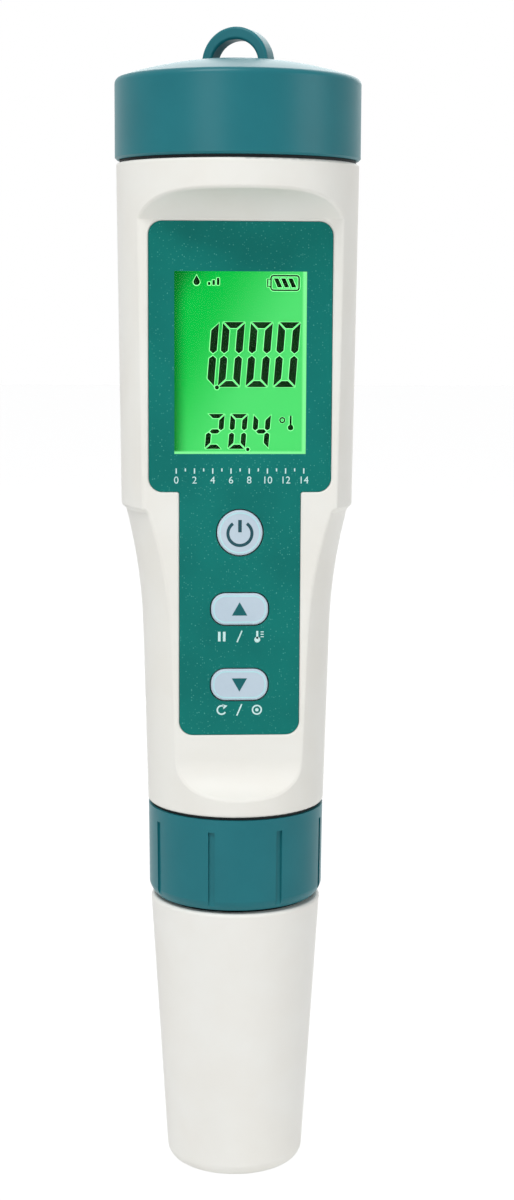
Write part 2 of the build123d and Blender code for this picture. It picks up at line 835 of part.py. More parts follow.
# Lanyard loop: an arched plate that stands on the dome, turned as the cap's thread leaves it
loop_centre = loop_top - loop_half_width
with BuildPart() as lanyard_loop:
    with BuildSketch(Plane.XZ.rotated((0, 0, loop_turn)).offset(-loop_depth / 2)):
        with BuildLine():
            CenterArc((0, loop_centre), loop_half_width, 0, 180)
            Polyline((-loop_half_width, loop_centre), (-loop_half_width, dome_edge),
                     (loop_half_width, dome_edge), (loop_half_width, loop_centre))
        make_face()
        with Locations((0, loop_centre)):
            Ellipse(loop_half_width - loop_foot_bar, loop_half_width - loop_bar, mode=Mode.SUBTRACT)
        with Locations((0, (loop_centre + dome_edge) / 2)):
            Rectangle(2 * (loop_half_width - loop_foot_bar), loop_centre - dome_edge, mode=Mode.SUBTRACT)
    extrude(amount=loop_depth)
    faces_of_plate = lanyard_loop.faces().sort_by(SortBy.AREA)[-2:]
    fillet([edge for face in faces_of_plate for edge in face.edges()
            if edge.center().Z > dome_edge + seat_gap], loop_edge_radius)

# Battery cap: skirt, domed top, stud for the carrier and the lanyard loop
with BuildPart() as battery_cap:
    with BuildSketch(Plane.XZ):
        with BuildLine():
            Polyline((0, cap_foot), (cap_radius, cap_foot), (cap_radius, dome_edge))
            CenterArc((0, dome_apex - dome_radius), dome_radius,
                      math.degrees(math.acos(cap_radius / dome_radius)),
                      math.degrees(math.asin(cap_radius / dome_radius)))
            Line((0, dome_apex), (0, cap_foot))
        make_face()
    revolve(axis=Axis.Z)
    fillet(rings(battery_cap, dome_edge), cap_edge_radius)
    chamfer(rings(battery_cap, cap_foot), cap_foot_chamfer)
    with BuildSketch(Plane.XY.offset(cap_foot)):
        Circle(cap_skirt_bore)
    extrude(amount=cap_ceiling - cap_foot, mode=Mode.SUBTRACT)
    with BuildSketch(Plane.XY.offset(carrier_top + seat_gap)):
        Circle(stud_radius)
    extrude(amount=cap_ceiling - carrier_top - seat_gap)
    with BuildSketch(Plane.XY.offset(carrier_top + seat_gap)):
        Circle(cap_screw_radius)
    extrude(amount=cap_screw_grip + seat_gap, mode=Mode.SUBTRACT)

    add(lanyard_loop.part)
finish(battery_cap, "battery_cap")

# Flat rubber seals in the shadow gaps at both ends of the housing
with BuildPart() as battery_cap_seal:
    with BuildSketch(Plane.XY.offset(housing_top)):
        Circle(top_radius - flat_seal_inset)
        Circle(upper_neck_radius + seat_gap, mode=Mode.SUBTRACT)
    extrude(amount=seal_groove - seat_gap)
finish(battery_cap_seal, "battery_cap_seal")

with BuildPart() as lock_ring_seal:
    with BuildSketch(Plane.XY.offset(housing_foot)):
        Circle(foot_radius - flat_seal_inset)
        Circle(lower_neck_radius + seat_gap, mode=Mode.SUBTRACT)
    extrude(amount=seat_gap - seal_groove)
finish(lock_ring_seal, "lock_ring_seal")

# Lock ring with its inner lip and grip grooves
with BuildPart() as lock_ring:
    with BuildSketch(Plane.XZ):
        with BuildLine():
            Polyline(
                (lip_bore, ring_foot),
                (ring_nose_radius, ring_foot),
            )
            RadiusArc((ring_nose_radius, ring_foot), (ring_foot_radius, ring_foot + ring_nose_height),
                      -2 * ring_nose_height)
            Polyline(
                (ring_foot_radius, ring_foot + ring_nose_height),
                (ring_radius, ring_top),
                (lower_neck_radius + ring_bore_gap, ring_top),
                (lower_neck_radius + ring_bore_gap, lip_top),
                (lip_bore, lip_top),
                (lip_bore, ring_foot),
            )
        make_face()
    revolve(axis=Axis.Z)
    chamfer(rings(lock_ring, ring_top)[-1], ring_top_chamfer)
    with BuildSketch(Plane.XY.offset(ring_foot)):
        with PolarLocations(ring_radius, groove_count, groove_start_angle):
            Rectangle(2 * groove_depth, groove_width)
    extrude(amount=lock_ring_height - groove_top_inset, mode=Mode.SUBTRACT)
finish(lock_ring, "lock_ring")

# Electrode body: stem, flange, plug with its seal groove, barrel and slotted guard
with BuildPart() as electrode_body:
    with BuildSketch(Plane.XZ):
        with BuildLine():
            Polyline(
                (0, stem_top - stem_pocket),
                (stem_radius - stem_wall, stem_top - stem_pocket),
                (stem_radius - stem_wall, stem_top),
                (stem_radius, stem_top),
                (stem_radius, flange_top),
                (flange_radius, flange_top),
                (flange_radius, flange_bottom),
                (plug_radius, flange_bottom),
                (plug_radius, plug_foot),
                (barrel_radius, plug_foot),
                (barrel_radius, barrel_foot),
                (guard_bore, barrel_foot),
                (guard_bore, guard_top),
                (0, guard_top),
                close=True,
            )
        make_face()
        with Locations((plug_radius - oring_thickness / 2 + oring_gap, oring_z)):
            Rectangle(oring_thickness + 2 * oring_gap, oring_thickness + 2 * oring_gap, mode=Mode.SUBTRACT)
    revolve(axis=Axis.Z)
    fillet(rings(electrode_body, barrel_foot)[-1], guard_wall / 3)
    chamfer(rings(electrode_body, plug_foot)[-1], guard_wall / 3)
    with BuildSketch(Plane.XY.offset(barrel_foot + guard_foot_ring)):
        with PolarLocations(barrel_radius, guard_slots):
            Rectangle(3 * guard_wall, guard_slot_width)
    extrude(amount=guard_slot_height, mode=Mode.SUBTRACT)
finish(electrode_body, "electrode_body")

# Ring seals of the electrode: a flat one on the flange and a round one for the probe cap
with BuildPart() as electrode_seal:
    with BuildSketch(Plane.XY.offset(flange_top)):
        Circle(flange_radius - seat_gap)
        Circle(stem_radius + seat_gap, mode=Mode.SUBTRACT)
    extrude(amount=flange_seal_thickness)
finish(electrode_seal, "electrode_seal")

with BuildPart() as probe_cap_seal:
    with BuildSketch(Plane.XZ):
        with Locations((plug_radius - oring_thickness / 2 + 2 * oring_gap, oring_z)):
            Circle(oring_thickness / 2)
    revolve(axis=Axis.Z)
finish(probe_cap_seal, "probe_cap_seal")

# Sensor head: the disc that closes the barrel and holds every sensor
sensor_turns = {"conductivity": (30, 90, 150), "orp": (210,), "temperature": (270,), "junction": (330,)}


def sensor_points(kind):
    """Centres of one kind of sensor on the head."""
    return [(sensor_circle * math.cos(math.radians(turn)), sensor_circle * math.sin(math.radians(turn)))
            for turn in sensor_turns[kind]]


with BuildPart() as sensor_head:
    with BuildSketch(Plane.XY.offset(head_bottom)):
        Circle(guard_bore - seat_gap)
        Circle(bulb_tube_radius, mode=Mode.SUBTRACT)
        with Locations(*sensor_points("conductivity")):
            Circle(probe_pin_radius, mode=Mode.SUBTRACT)
        with Locations(*sensor_points("orp")):
            Circle(orp_radius, mode=Mode.SUBTRACT)
        with Locations(*sensor_points("temperature")):
            Circle(sensor_tube_radius, mode=Mode.SUBTRACT)
        with Locations(*sensor_points("junction")):
            Circle(junction_radius, mode=Mode.SUBTRACT)
    extrude(amount=head_thickness - seat_gap)
finish(sensor_head, "sensor_head")

# Glass electrode: a tube through the head with its bulb inside the guard
bulb_tip = barrel_foot + bulb_tip_rise
with BuildPart() as glass_electrode:
    with BuildSketch(Plane.XY.offset(bulb_tip + bulb_radius)):
        Circle(bulb_tube_radius)
    extrude(amount=guard_top - seat_gap - bulb_tip - bulb_radius)
    with Locations((0, 0, bulb_tip + bulb_radius)):
        Sphere(bulb_radius)
finish(glass_electrode, "glass_electrode")

with BuildPart() as conductivity_pins:
    with BuildSketch(Plane.XY.offset(head_bottom - probe_pin_length)):
        with Locations(*sensor_points("conductivity")):
            Circle(probe_pin_radius)
    extrude(amount=probe_pin_length + head_thickness - seat_gap)
finish(conductivity_pins, "conductivity_pins")

with BuildPart() as orp_electrode:
    with BuildSketch(Plane.XY.offset(head_bottom - probe_pin_length)):
        with Locations(*sensor_points("orp")):
            Circle(orp_radius)
    extrude(amount=probe_pin_length + head_thickness - seat_gap)
    fillet(orp_electrode.edges().sort_by(Axis.Z)[0], orp_radius / 2)
finish(orp_electrode, "orp_electrode")

with BuildPart() as temperature_probe:
    with BuildSketch(Plane.XY.offset(head_bottom - sensor_tube_length)):
        with Locations(*sensor_points("temperature")):
            Circle(sensor_tube_radius)
    extrude(amount=sensor_tube_length + head_thickness - seat_gap)
    fillet(temperature_probe.edges().sort_by(Axis.Z)[0], sensor_tube_radius / 2)
finish(temperature_probe, "temperature_probe")

with BuildPart() as reference_junction:
    with BuildSketch(Plane.XY.offset(head_bottom - junction_length)):
        with Locations(*sensor_points("junction")):
            Circle(junction_radius)
    extrude(amount=junction_length + head_thickness - seat_gap)
finish(reference_junction, "reference_junction")

# Electrode plug: a round board in the stem's pocket with pins that reach up into the socket
pin_places = [((index - (contact_count - 1) / 2) * contact_pitch, 0) for index in range(contact_count)]
with BuildPart() as electrode_board:
    with BuildSketch(Plane.XY.offset(electrode_board_top - electrode_board_thickness)):
        Circle(electrode_board_radius)
        with Locations(*pin_places):
            Circle(contact_radius, mode=Mode.SUBTRACT)
    extrude(amount=electrode_board_thickness)
    with BuildSketch(Plane.XY.offset(stem_top - stem_pocket)):
        Circle(electrode_board_radius)
        Circle(electrode_board_radius - stem_wall, mode=Mode.SUBTRACT)
    extrude(amount=stem_pocket - (stem_top - electrode_board_top) - electrode_board_thickness)
finish(electrode_board, "electrode_board")

with BuildPart() as connector_pins:
    with BuildSketch(Plane.XY.offset(electrode_board_top - electrode_board_thickness)):
        with Locations(*pin_places):
            Circle(contact_radius)
    extrude(amount=contact_top - electrode_board_top + electrode_board_thickness)
finish(connector_pins, "connector_pins")

# Socket board on the housing's inner floor, its socket and the header up to the main board
with BuildPart() as socket_board:
    with BuildSketch(Plane.XY.offset(inner_floor)):
        Circle(foot_radius - housing_wall - running_gap)
    extrude(amount=electrode_board_thickness)
    split(bisect_by=Plane.XZ.offset(inner_face - running_gap), keep=Keep.BOTTOM)
finish(socket_board, "socket_board")

with BuildPart() as connector_socket:
    with BuildSketch(Plane.XY.offset(socket_bottom)):
        RectangleRounded(socket_width, socket_depth, socket_corner)
        with Locations(*pin_places):
            Circle(contact_radius + pin_gap, mode=Mode.SUBTRACT)
    extrude(amount=socket_height)
finish(connector_socket, "connector_socket")

with BuildPart() as link_header:
    with BuildSketch(Plane.XZ.offset(board_back)):
        with Locations((0, board_foot + link_strip_height / 2)):
            Rectangle(contact_count * contact_pitch, link_strip_height)
    extrude(amount=-link_strip_height)
    with BuildSketch(Plane.XY.offset(socket_board_top)):
        with Locations(*[(x, link_strip_height / 2 - board_back) for x, y in pin_places]):
            Circle(link_pin_radius)
    extrude(amount=board_foot - socket_board_top)
finish(link_header, "link_header")

# Screws of one size: four through the board into the bosses, two through the holder into the bore's floor
with BuildPart() as case_screws:
    with BuildSketch(Plane.XZ.offset(board_back)):
        with Locations(*boss_centres):
            Circle(screw_head_radius)
    extrude(amount=-screw_head_height)
    with BuildSketch(Plane.XZ.offset(board_back)):
        with Locations(*boss_centres):
            Circle(screw_radius - seat_gap)
    extrude(amount=screw_length)
    with BuildSketch(Plane.XY.offset(bore_floor + holder_floor)):
        with Locations(*holder_screws):
            Circle(screw_head_radius)
    extrude(amount=screw_head_height)
    with BuildSketch(Plane.XY.offset(bore_floor + holder_floor)):
        with Locations(*holder_screws):
            Circle(screw_radius - seat_gap)
    extrude(amount=-screw_length + seat_gap)
finish(case_screws, "case_screws")

# Probe cap: a drafted cup with a bore that grips the electrode's plug above an inner ledge
with BuildPart() as probe_cap:
    with BuildSketch(Plane.XZ):
        with BuildLine():
            Polyline(
                (0, 0),
                (cap_base_radius, 0),
                (cap_rim_radius, probe_cap_height),
                (cap_bore, probe_cap_height),
                (cap_bore, cap_ledge),
                (cap_base_radius + cap_draft * cap_ledge - probe_cap_wall, cap_ledge),
                (cap_base_radius + cap_draft * probe_cap_floor - probe_cap_wall, probe_cap_floor),
                (0, probe_cap_floor),
                close=True,
            )
        make_face()
    revolve(axis=Axis.Z)
    fillet(rings(probe_cap, 0), cap_base_fillet)
    fillet(rings(probe_cap, probe_cap_height), cap_rim_fillet)
finish(probe_cap, "probe_cap")

# Sponge in the floor of the probe cap that keeps the bulb moist
with BuildPart() as soak_sponge:
    with BuildSketch(Plane.XY.offset(probe_cap_floor + seat_gap)):
        Circle(cap_base_radius + cap_draft * probe_cap_floor - probe_cap_wall - sponge_gap)
    extrude(amount=sponge_height)
finish(soak_sponge, "soak_sponge")
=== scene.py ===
"""Scene of a pen-shaped water quality tester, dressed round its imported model.

Lengths are written in millimetres and multiplied by MM where they reach Blender, which works in metres.
The tester stands on its probe cap at the origin, +Z runs up its axis and the display looks along -Y.
"""

import json
import logging
import math
from dataclasses import dataclass, field
from enum import Enum

import bpy
import numpy as np
from mathutils import Matrix, Vector

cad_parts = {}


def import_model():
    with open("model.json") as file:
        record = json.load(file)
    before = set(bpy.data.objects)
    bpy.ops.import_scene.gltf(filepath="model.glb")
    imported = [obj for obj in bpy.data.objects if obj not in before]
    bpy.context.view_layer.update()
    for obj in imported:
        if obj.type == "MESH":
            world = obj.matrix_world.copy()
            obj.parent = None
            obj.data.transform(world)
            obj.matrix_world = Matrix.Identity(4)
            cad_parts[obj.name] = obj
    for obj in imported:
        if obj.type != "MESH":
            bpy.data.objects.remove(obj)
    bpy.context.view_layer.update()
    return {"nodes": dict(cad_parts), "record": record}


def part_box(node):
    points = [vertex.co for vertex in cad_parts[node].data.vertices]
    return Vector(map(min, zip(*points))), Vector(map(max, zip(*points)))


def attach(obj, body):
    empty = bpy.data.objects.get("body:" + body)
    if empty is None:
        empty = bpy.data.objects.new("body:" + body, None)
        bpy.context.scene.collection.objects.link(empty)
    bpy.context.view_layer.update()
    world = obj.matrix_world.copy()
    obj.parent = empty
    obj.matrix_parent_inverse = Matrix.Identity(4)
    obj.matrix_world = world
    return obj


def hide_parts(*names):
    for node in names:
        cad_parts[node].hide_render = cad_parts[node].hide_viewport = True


MM = 0.001
POLE = 0.001  # radius in millimetres at which a lathed section starts beside the axis
log = logging.getLogger("tester")


def linear(colour: str, alpha: float = 1.0) -> tuple[float, float, float, float]:
    """Turns an sRGB hex colour into linear light.

    Args:
        colour: six hex digits.
        alpha: the fourth channel.

    Returns:
        Red, green, blue and alpha.
    """
    parts = [int(colour[place:place + 2], 16) / 255 for place in (0, 2, 4)]
    red, green, blue = (part / 12.92 if part <= 0.04045 else ((part + 0.055) / 1.055) ** 2.4
                        for part in parts)
    return red, green, blue, alpha


def per_metre(spacing: float) -> float:
    """Texture scale whose features lie a spacing in millimetres apart."""
    return 1 / (spacing * MM)


def add_node(tree: bpy.types.NodeTree, kind: str, settings: dict | None = None,
             links: dict | None = None) -> bpy.types.Node:
    """Adds one shader node with its settings and links.

    Args:
        tree: the material's or world's node tree.
        kind: Blender's name for the node's type.
        settings: values by attribute name, or by input name or number.
        links: output sockets by input name or number.

    Returns:
        The new node.
    """
    made = tree.nodes.new(kind)
    for key, value in (settings or {}).items():
        if isinstance(key, str) and hasattr(made, key):
            setattr(made, key, value)
        else:
            made.inputs[key].default_value = value
    for key, socket in (links or {}).items():
        tree.links.new(socket, made.inputs[key])
    return made


class Axis(Enum):
    """Axis of the object that a brushed or turned finish runs along."""

    X = (0.04, 1.0, 1.0)
    Z = (1.0, 1.0, 0.04)


@dataclass(frozen=True)
class Canvas:
    """A material in the making.

    Attributes:
        tree: its node tree.
        shader: its Principled node.
        place: Object coordinates.
    """

    tree: bpy.types.NodeTree
    shader: bpy.types.Node
    place: bpy.types.NodeSocket

    def texture(self, kind: str, spacing: float, settings: dict | None = None,
                place: bpy.types.NodeSocket | None = None) -> bpy.types.bpy_prop_collection:
        """Adds a texture.

        Args:
            kind: the end of Blender's name for it.
            spacing: millimetres between its features.
            settings: its other attributes or inputs.
            place: coordinates that it reads in place of the object's.

        Returns:
            Its outputs.
        """
        return add_node(self.tree, f"ShaderNodeTex{kind}", {"Scale": per_metre(spacing), **(settings or {})},
                        {"Vector": place or self.place}).outputs

    def remap(self, value: bpy.types.NodeSocket, start: float, end: float, low: float = 0.0,
              high: float = 1.0, kind: str = "LINEAR") -> bpy.types.NodeSocket:
        """Turns a range of values into another, and clamps to it.

        Args:
            value: what is read.
            start: value that becomes the low one.
            end: value that becomes the high one.
            low: output at the start.
            high: output at the end.
            kind: Blender's name for the curve between the two.

        Returns:
            The new value.
        """
        settings = {"interpolation_type": kind, "From Min": start, "From Max": end, "To Min": low,
                    "To Max": high}
        return add_node(self.tree, "ShaderNodeMapRange", settings, {"Value": value}).outputs["Result"]

    def blend(self, share: bpy.types.NodeSocket, low: object, high: object) -> bpy.types.NodeSocket:
        """Mixes two colours.

        Args:
            share: how much of the second colour shows, from 0 to 1.
            low: the first colour, as a tuple or a socket.
            high: the second colour, as a tuple or a socket.

        Returns:
            The mixed colour.
        """
        colours = {6: low, 7: high}
        sockets = {slot: value for slot, value in colours.items() if isinstance(value, bpy.types.NodeSocket)}
        fixed = {slot: value for slot, value in colours.items() if slot not in sockets}
        mixed = add_node(self.tree, "ShaderNodeMix", {"data_type": "RGBA", **fixed}, {0: share, **sockets})
        return mixed.outputs[2]

    def calculate(self, operation: str, links: dict, settings: dict | None = None) -> bpy.types.NodeSocket:
        """Adds one step of arithmetic, whose links and settings go by the number of the input."""
        fixed = {"operation": operation, **(settings or {})}
        return add_node(self.tree, "ShaderNodeMath", fixed, links).outputs[0]

    def link(self, source: bpy.types.NodeSocket, name: str) -> None:
        """Feeds one of the shader's inputs."""
        self.tree.links.new(source, self.shader.inputs[name])

    def fix(self, **values: object) -> None:
        """Sets shader inputs, whose names are written with underscores for spaces."""
        for name, value in values.items():
            self.shader.inputs[name.replace("_", " ")].default_value = value

    def emboss(self, height: bpy.types.NodeSocket, relief: float) -> None:
        """Raises the surface by the relief, in millimetres, where the height is 1."""
        bump = add_node(self.tree, "ShaderNodeBump", {"Strength": 1.0, "Distance": relief * MM},
                        {"Height": height})
        self.link(bump.outputs["Normal"], "Normal")


@dataclass(frozen=True)
class Finish:
    """A surface as its maker leaves it: colour, gloss, and a fine relief with a shade of its own.

    Attributes:
        name: the material's common name.
        colour: sRGB hex of the clean surface.
        shade: sRGB hex that the pattern mixes in.
        roughness: spread of the reflection.
        ior: index of refraction of a plastic, glass or rubber.
        metallic: 1 for bare metal.
        grain: millimetres between neighbouring grains of the relief.
        relief: millimetres from the grains' feet to their tops.
        mottle: millimetres between patches of the slow colour drift.
        gloss: strength of the reflection, where 0.5 is that of the plain index of refraction.
    """

    name: str
    colour: str
    shade: str
    roughness: float
    ior: float = 1.5
    metallic: float = 0.0
    grain: float = 0.35
    relief: float = 0.004
    mottle: float = 9.0
    gloss: float = 0.2

    def material(self) -> bpy.types.Material:
        """Builds the material once and returns it.

        Returns:
            The material, shared by every piece with this finish.
        """
        found = bpy.data.materials.get(self.name)
        if found:
            return found
        made = bpy.data.materials.new(self.name)
        made.use_nodes = True
        tree = made.node_tree
        tree.nodes.clear()
        shader = add_node(tree, "ShaderNodeBsdfPrincipled", {
            "Base Color": linear(self.colour), "Roughness": self.roughness, "Metallic": self.metallic,
            "IOR": self.ior, "Specular IOR Level": self.gloss})
        add_node(tree, "ShaderNodeOutputMaterial", links={"Surface": shader.outputs["BSDF"]})
        self.dress(Canvas(tree, shader, add_node(tree, "ShaderNodeTexCoord").outputs["Object"]))
        return made

    def dress(self, canvas: Canvas) -> None:
        """Adds a slow drift between the two colours and fine rounded grains."""
        self.tint(canvas, self.drift(canvas))
        canvas.emboss(canvas.texture("Noise", self.grain, {"Detail": 2.0})["Fac"], self.relief)

    def drift(self, canvas: Canvas) -> bpy.types.NodeSocket:
        """Slow noise from 0 to 1 with patches a mottle's length apart."""
        return canvas.remap(canvas.texture("Noise", self.mottle, {"Detail": 3.0})["Fac"], 0.35, 0.65)

    def tinted(self, canvas: Canvas, share: bpy.types.NodeSocket) -> bpy.types.NodeSocket:
        """The colour with a share of the shade, from 0 to 1."""
        return canvas.blend(share, linear(self.colour), linear(self.shade))

    def tint(self, canvas: Canvas, share: bpy.types.NodeSocket) -> None:
        """Gives the surface the colour with a share of the shade."""
        canvas.link(self.tinted(canvas, share), "Base Color")


@dataclass(frozen=True)
class SparkleFilm(Finish):
    """Polyester film printed on its back with ink that holds fine pearl flakes, whose glint is painted into
    the colour.

    Attributes:
        flake: sRGB hex of the painted glint of a flake that faces the light.
        flake_pitch: millimetres between flakes.
        flake_share: part of the cells that hold a bright flake.
        flake_shine: how much of its own colour the brightest flake shows.
        flake_edge: where a flake starts to fade and ends, in cells from its middle.
    """

    flake: str = "4FA79C"
    flake_pitch: float = 0.3
    flake_share: float = 0.2
    flake_shine: float = 0.85
    flake_edge: tuple[float, float] = (0.15, 0.45)

    def dress(self, canvas: Canvas) -> None:
        """Adds flakes: Voronoi cells, each as bright as its own random value, over the slow drift, as a
        painted glint of the flakes that face the light.

        Args:
            canvas: the material in the making.
        """
        cells = canvas.texture("Voronoi", self.flake_pitch)
        chance = add_node(canvas.tree, "ShaderNodeSeparateColor", links={0: cells["Color"]}).outputs[0]
        lucky = canvas.remap(chance, 1 - self.flake_share, 1.0, high=self.flake_shine)
        core = canvas.remap(cells["Distance"], *self.flake_edge, low=1.0, high=0.0)
        # painted glint: the chosen cells are lighter, as if their flakes faced the light
        bright = canvas.calculate("MULTIPLY", {0: lucky, 1: core})
        base = self.tinted(canvas, self.drift(canvas))
        canvas.link(canvas.blend(bright, base, linear(self.flake)), "Base Color")
        canvas.emboss(canvas.texture("Noise", self.grain)["Fac"], self.relief)


@dataclass(frozen=True)
class DrawnMetal(Finish):
    """Metal with the fine lines that drawing, rolling or turning leaves along one axis.

    Attributes:
        along: the axis that the lines run along.
    """

    along: Axis = Axis.Z

    def dress(self, canvas: Canvas) -> None:
        """Adds lines: noise on coordinates that are squeezed along the axis.

        Args:
            canvas: the material in the making.
        """
        squeezed = add_node(canvas.tree, "ShaderNodeMapping", {"Scale": self.along.value},
                            {"Vector": canvas.place}).outputs["Vector"]
        lines = canvas.texture("Noise", self.grain, {"Detail": 3.0}, squeezed)["Fac"]
        self.tint(canvas, lines)
        canvas.emboss(lines, self.relief)


@dataclass(frozen=True)
class ClearMoulding(Finish):
    """Polished clear plastic or glass with a trace of its own colour.

    Attributes:
        clear: share of the light that goes through instead of being scattered.
    """

    clear: float = 1.0

    def dress(self, canvas: Canvas) -> None:
        """Lets light through and adds the faint waviness of a moulded or blown surface."""
        canvas.fix(Transmission_Weight=self.clear)
        canvas.emboss(canvas.texture("Noise", self.mottle)["Fac"], self.relief)


@dataclass(frozen=True)
class Laminate(Finish):
    """Glass-fibre board under solder mask, with the cloth's weave just felt and copper tracks just seen.

    Attributes:
        track_pitch: millimetres between neighbouring tracks.
        yarn: length of a wave of the weave, in grains.
    """

    track_pitch: float = 4.0
    yarn: float = 6.0

    def dress(self, canvas: Canvas) -> None:
        """Adds tracks, the joints of a brick pattern, and the weave, the sum of two crossed waves.

        Args:
            canvas: the material in the making.
        """
        black, white = (0, 0, 0, 1), (1, 1, 1, 1)
        tracks = canvas.texture("Brick", self.track_pitch, {"Mortar Size": 0.08, "Color1": black,
                                                            "Color2": black, "Mortar": white})
        self.tint(canvas, tracks["Fac"])
        warp, weft = (canvas.texture("Wave", self.grain * self.yarn, {"bands_direction": way})["Fac"]
                      for way in ("X", "Z"))
        canvas.emboss(canvas.calculate("ADD", {0: warp, 1: weft}), self.relief)


@dataclass(frozen=True)
class Porous(Finish):
    """Open foam or unglazed ceramic: pores of all sizes below the grain."""

    def dress(self, canvas: Canvas) -> None:
        """Adds pores: the inverted distance to the nearest Voronoi point, with painted shade that darkens
        the pits.

        Args:
            canvas: the material in the making.
        """
        pores = canvas.texture("Voronoi", self.grain)["Distance"]
        # painted shade: the colour darkens towards each pit's middle, where shade falls
        self.tint(canvas, canvas.remap(pores, 0.15, 0.5, low=1.0, high=0.0))
        canvas.emboss(pores, self.relief)


@dataclass(frozen=True)
class BacklitCell(Finish):
    """Liquid crystal cell lit from its right-hand edge through a green guide, with painted shade at its left
    edge and top left corner.

    Attributes:
        painted_shade: sRGB hex of the painted shade that the wall round the window casts on the left edge
            and top left corner.
        glow: sRGB hex of the edges nearest the lamps.
        unlit: sRGB hex of the cell with its lamps off.
        centre: x and z of the window's middle.
        half: half its width and height.
        slope: how much of the height counts in the slanted ramp from left to right.
        slanted: start and end of that ramp, from the middle.
        left: start and end of the painted shade at the left edge, from the window's side.
        corner: start and end of the painted shade at the top left corner, from the middle.
        right: start and end of the bright right edge, from the window's side.
        foot: start and end of the bright lower edge, from the window's foot.
    """

    painted_shade: str = "006F1E"
    glow: str = "8CFFA0"
    unlit: str = "0A2A10"
    centre: tuple[float, float] = (0.0, 137.15)
    half: tuple[float, float] = (10.6, 14.55)
    slope: float = 0.55
    slanted: tuple[float, float] = (-11.0, 5.0)
    left: tuple[float, float] = (-0.6, 2.4)
    corner: tuple[float, float] = (17.0, 27.0)
    right: tuple[float, float] = (-0.75, -0.35)
    foot: tuple[float, float] = (0.5, 0.2)

    def dress(self, canvas: Canvas) -> None:
        """Adds the light that the cell shows.

        It is a slanted ramp, which reads x minus the slope times z. Painted shade darkens it at the left
        edge and at the top left corner, whose ramp reads z minus x, and two edges are bright.

        Args:
            canvas: the material in the making.
        """
        place = add_node(canvas.tree, "ShaderNodeSeparateXYZ", {}, {0: canvas.place}).outputs
        x, z = place["X"], place["Z"]
        (across, middle), (half_width, half_height) = self.centre, self.half
        painted_shade, glow = linear(self.painted_shade), linear(self.glow)
        slanted = canvas.calculate("MULTIPLY_ADD", {0: z, 2: x}, {1: -self.slope})
        top_left = canvas.calculate("SUBTRACT", {0: z, 1: x})
        light = self.tinted(canvas, self.ramp(canvas, slanted, across - self.slope * middle, self.slanted))
        # painted shade along the left edge, where the wall round the window shades the cell
        light = canvas.blend(self.ramp(canvas, x, across - half_width, self.left), painted_shade, light)
        # painted shade in the top left corner, under the window's upper wall
        light = canvas.blend(self.ramp(canvas, top_left, middle - across, self.corner), light, painted_shade)
        light = canvas.blend(self.ramp(canvas, x, across + half_width, self.right), light, glow)
        light = canvas.blend(self.ramp(canvas, z, middle - half_height, self.foot), light, glow)
        canvas.fix(Base_Color=linear(self.unlit), Emission_Strength=1.0)
        canvas.link(light, "Emission Color")
        canvas.emboss(canvas.texture("Noise", self.grain)["Fac"], self.relief)

    @staticmethod
    def ramp(canvas: Canvas, source: bpy.types.NodeSocket, datum: float,
             ends: tuple[float, float]) -> bpy.types.NodeSocket:
        """Rises smoothly from 0 to 1 between two places.

        Args:
            canvas: the material in the making.
            source: a length along the object, in metres.
            datum: where both places are measured from, in millimetres.
            ends: the two places, in millimetres.

        Returns:
            The ramp's output.
        """
        start, end = ((datum + place) * MM for place in ends)
        return canvas.remap(source, start, end, kind="SMOOTHSTEP")


@dataclass(frozen=True)
class Lit(Finish):
    """A surface that shines with its own colour, such as a lamp or the pale edge round a display's segment.

    Attributes:
        strength: emission, where 1 renders as the colour is written.
    """

    strength: float = 1.0

    def dress(self, canvas: Canvas) -> None:
        """Adds the emission in the finish's own colour over the usual drift and grain."""
        super().dress(canvas)
        canvas.fix(Emission_Color=linear(self.colour), Emission_Strength=self.strength)


# ABS moulded in a spark-eroded tool: satin, with grains too fine to see singly
IVORY_ABS = Finish("ivory_abs", "EBEAE4", "E9E7E0", 0.42, grain=0.22, relief=0.003)
TEAL_ABS = Finish("teal_abs", "1D7079", "1B6C75", 0.36, grain=0.22, relief=0.0025)
# Polypropylene moulded and slightly translucent, a little warmer than the ABS
IVORY_PP = Finish("ivory_polypropylene", "EEEDE8", "ECEAE4", 0.46, grain=0.25, relief=0.003)
# Back-printed film, with flakes drawn about twice their real size so that the render shows them
TEAL_FILM = SparkleFilm("pearl_film", "12766E", "106F68", 0.33, grain=0.2, relief=0.0012, gloss=0.08)
# Clear cast acrylic, polished: the display shows through it with hardly a reflection
ACRYLIC = ClearMoulding("clear_acrylic", "F4FBF7", "F4FBF7", 0.02, 1.12, relief=0.0005, mottle=6.0)
# Polished glass cell over a green guide: even light that fades away from the lamps, with painted shade at
# the left edge and top left corner
CELL_GLASS = BacklitCell("backlit_cell", "00C444", "54E474", 0.12, grain=0.05, relief=0.0002, gloss=0.03)
# Crystal turned dark by its field, under the front glass: near black, with no shine of its own
SEGMENT_INK = Finish("darkened_crystal", "06300B", "042608", 0.8, grain=0.1, relief=0.0005, gloss=0.05)
# A thin pale line round each dark segment, which shines with its own light
SEGMENT_EDGE = Lit("segment_edge", "8CEE9A", "84E892", 0.6, grain=0.2, relief=0.0005, gloss=0.05,
                   strength=0.85)
# Natural white ABS moulded without a texture: dull and a little uneven
WHITE_ABS = Finish("white_abs", "E4E4DE", "DAD9D2", 0.5, grain=0.3, relief=0.004)
# Acrylic tinted by the light that runs through it: clear green
GREEN_GUIDE = ClearMoulding("green_guide", "7FE39A", "7FE39A", 0.08, 1.49, relief=0.001, clear=0.8)
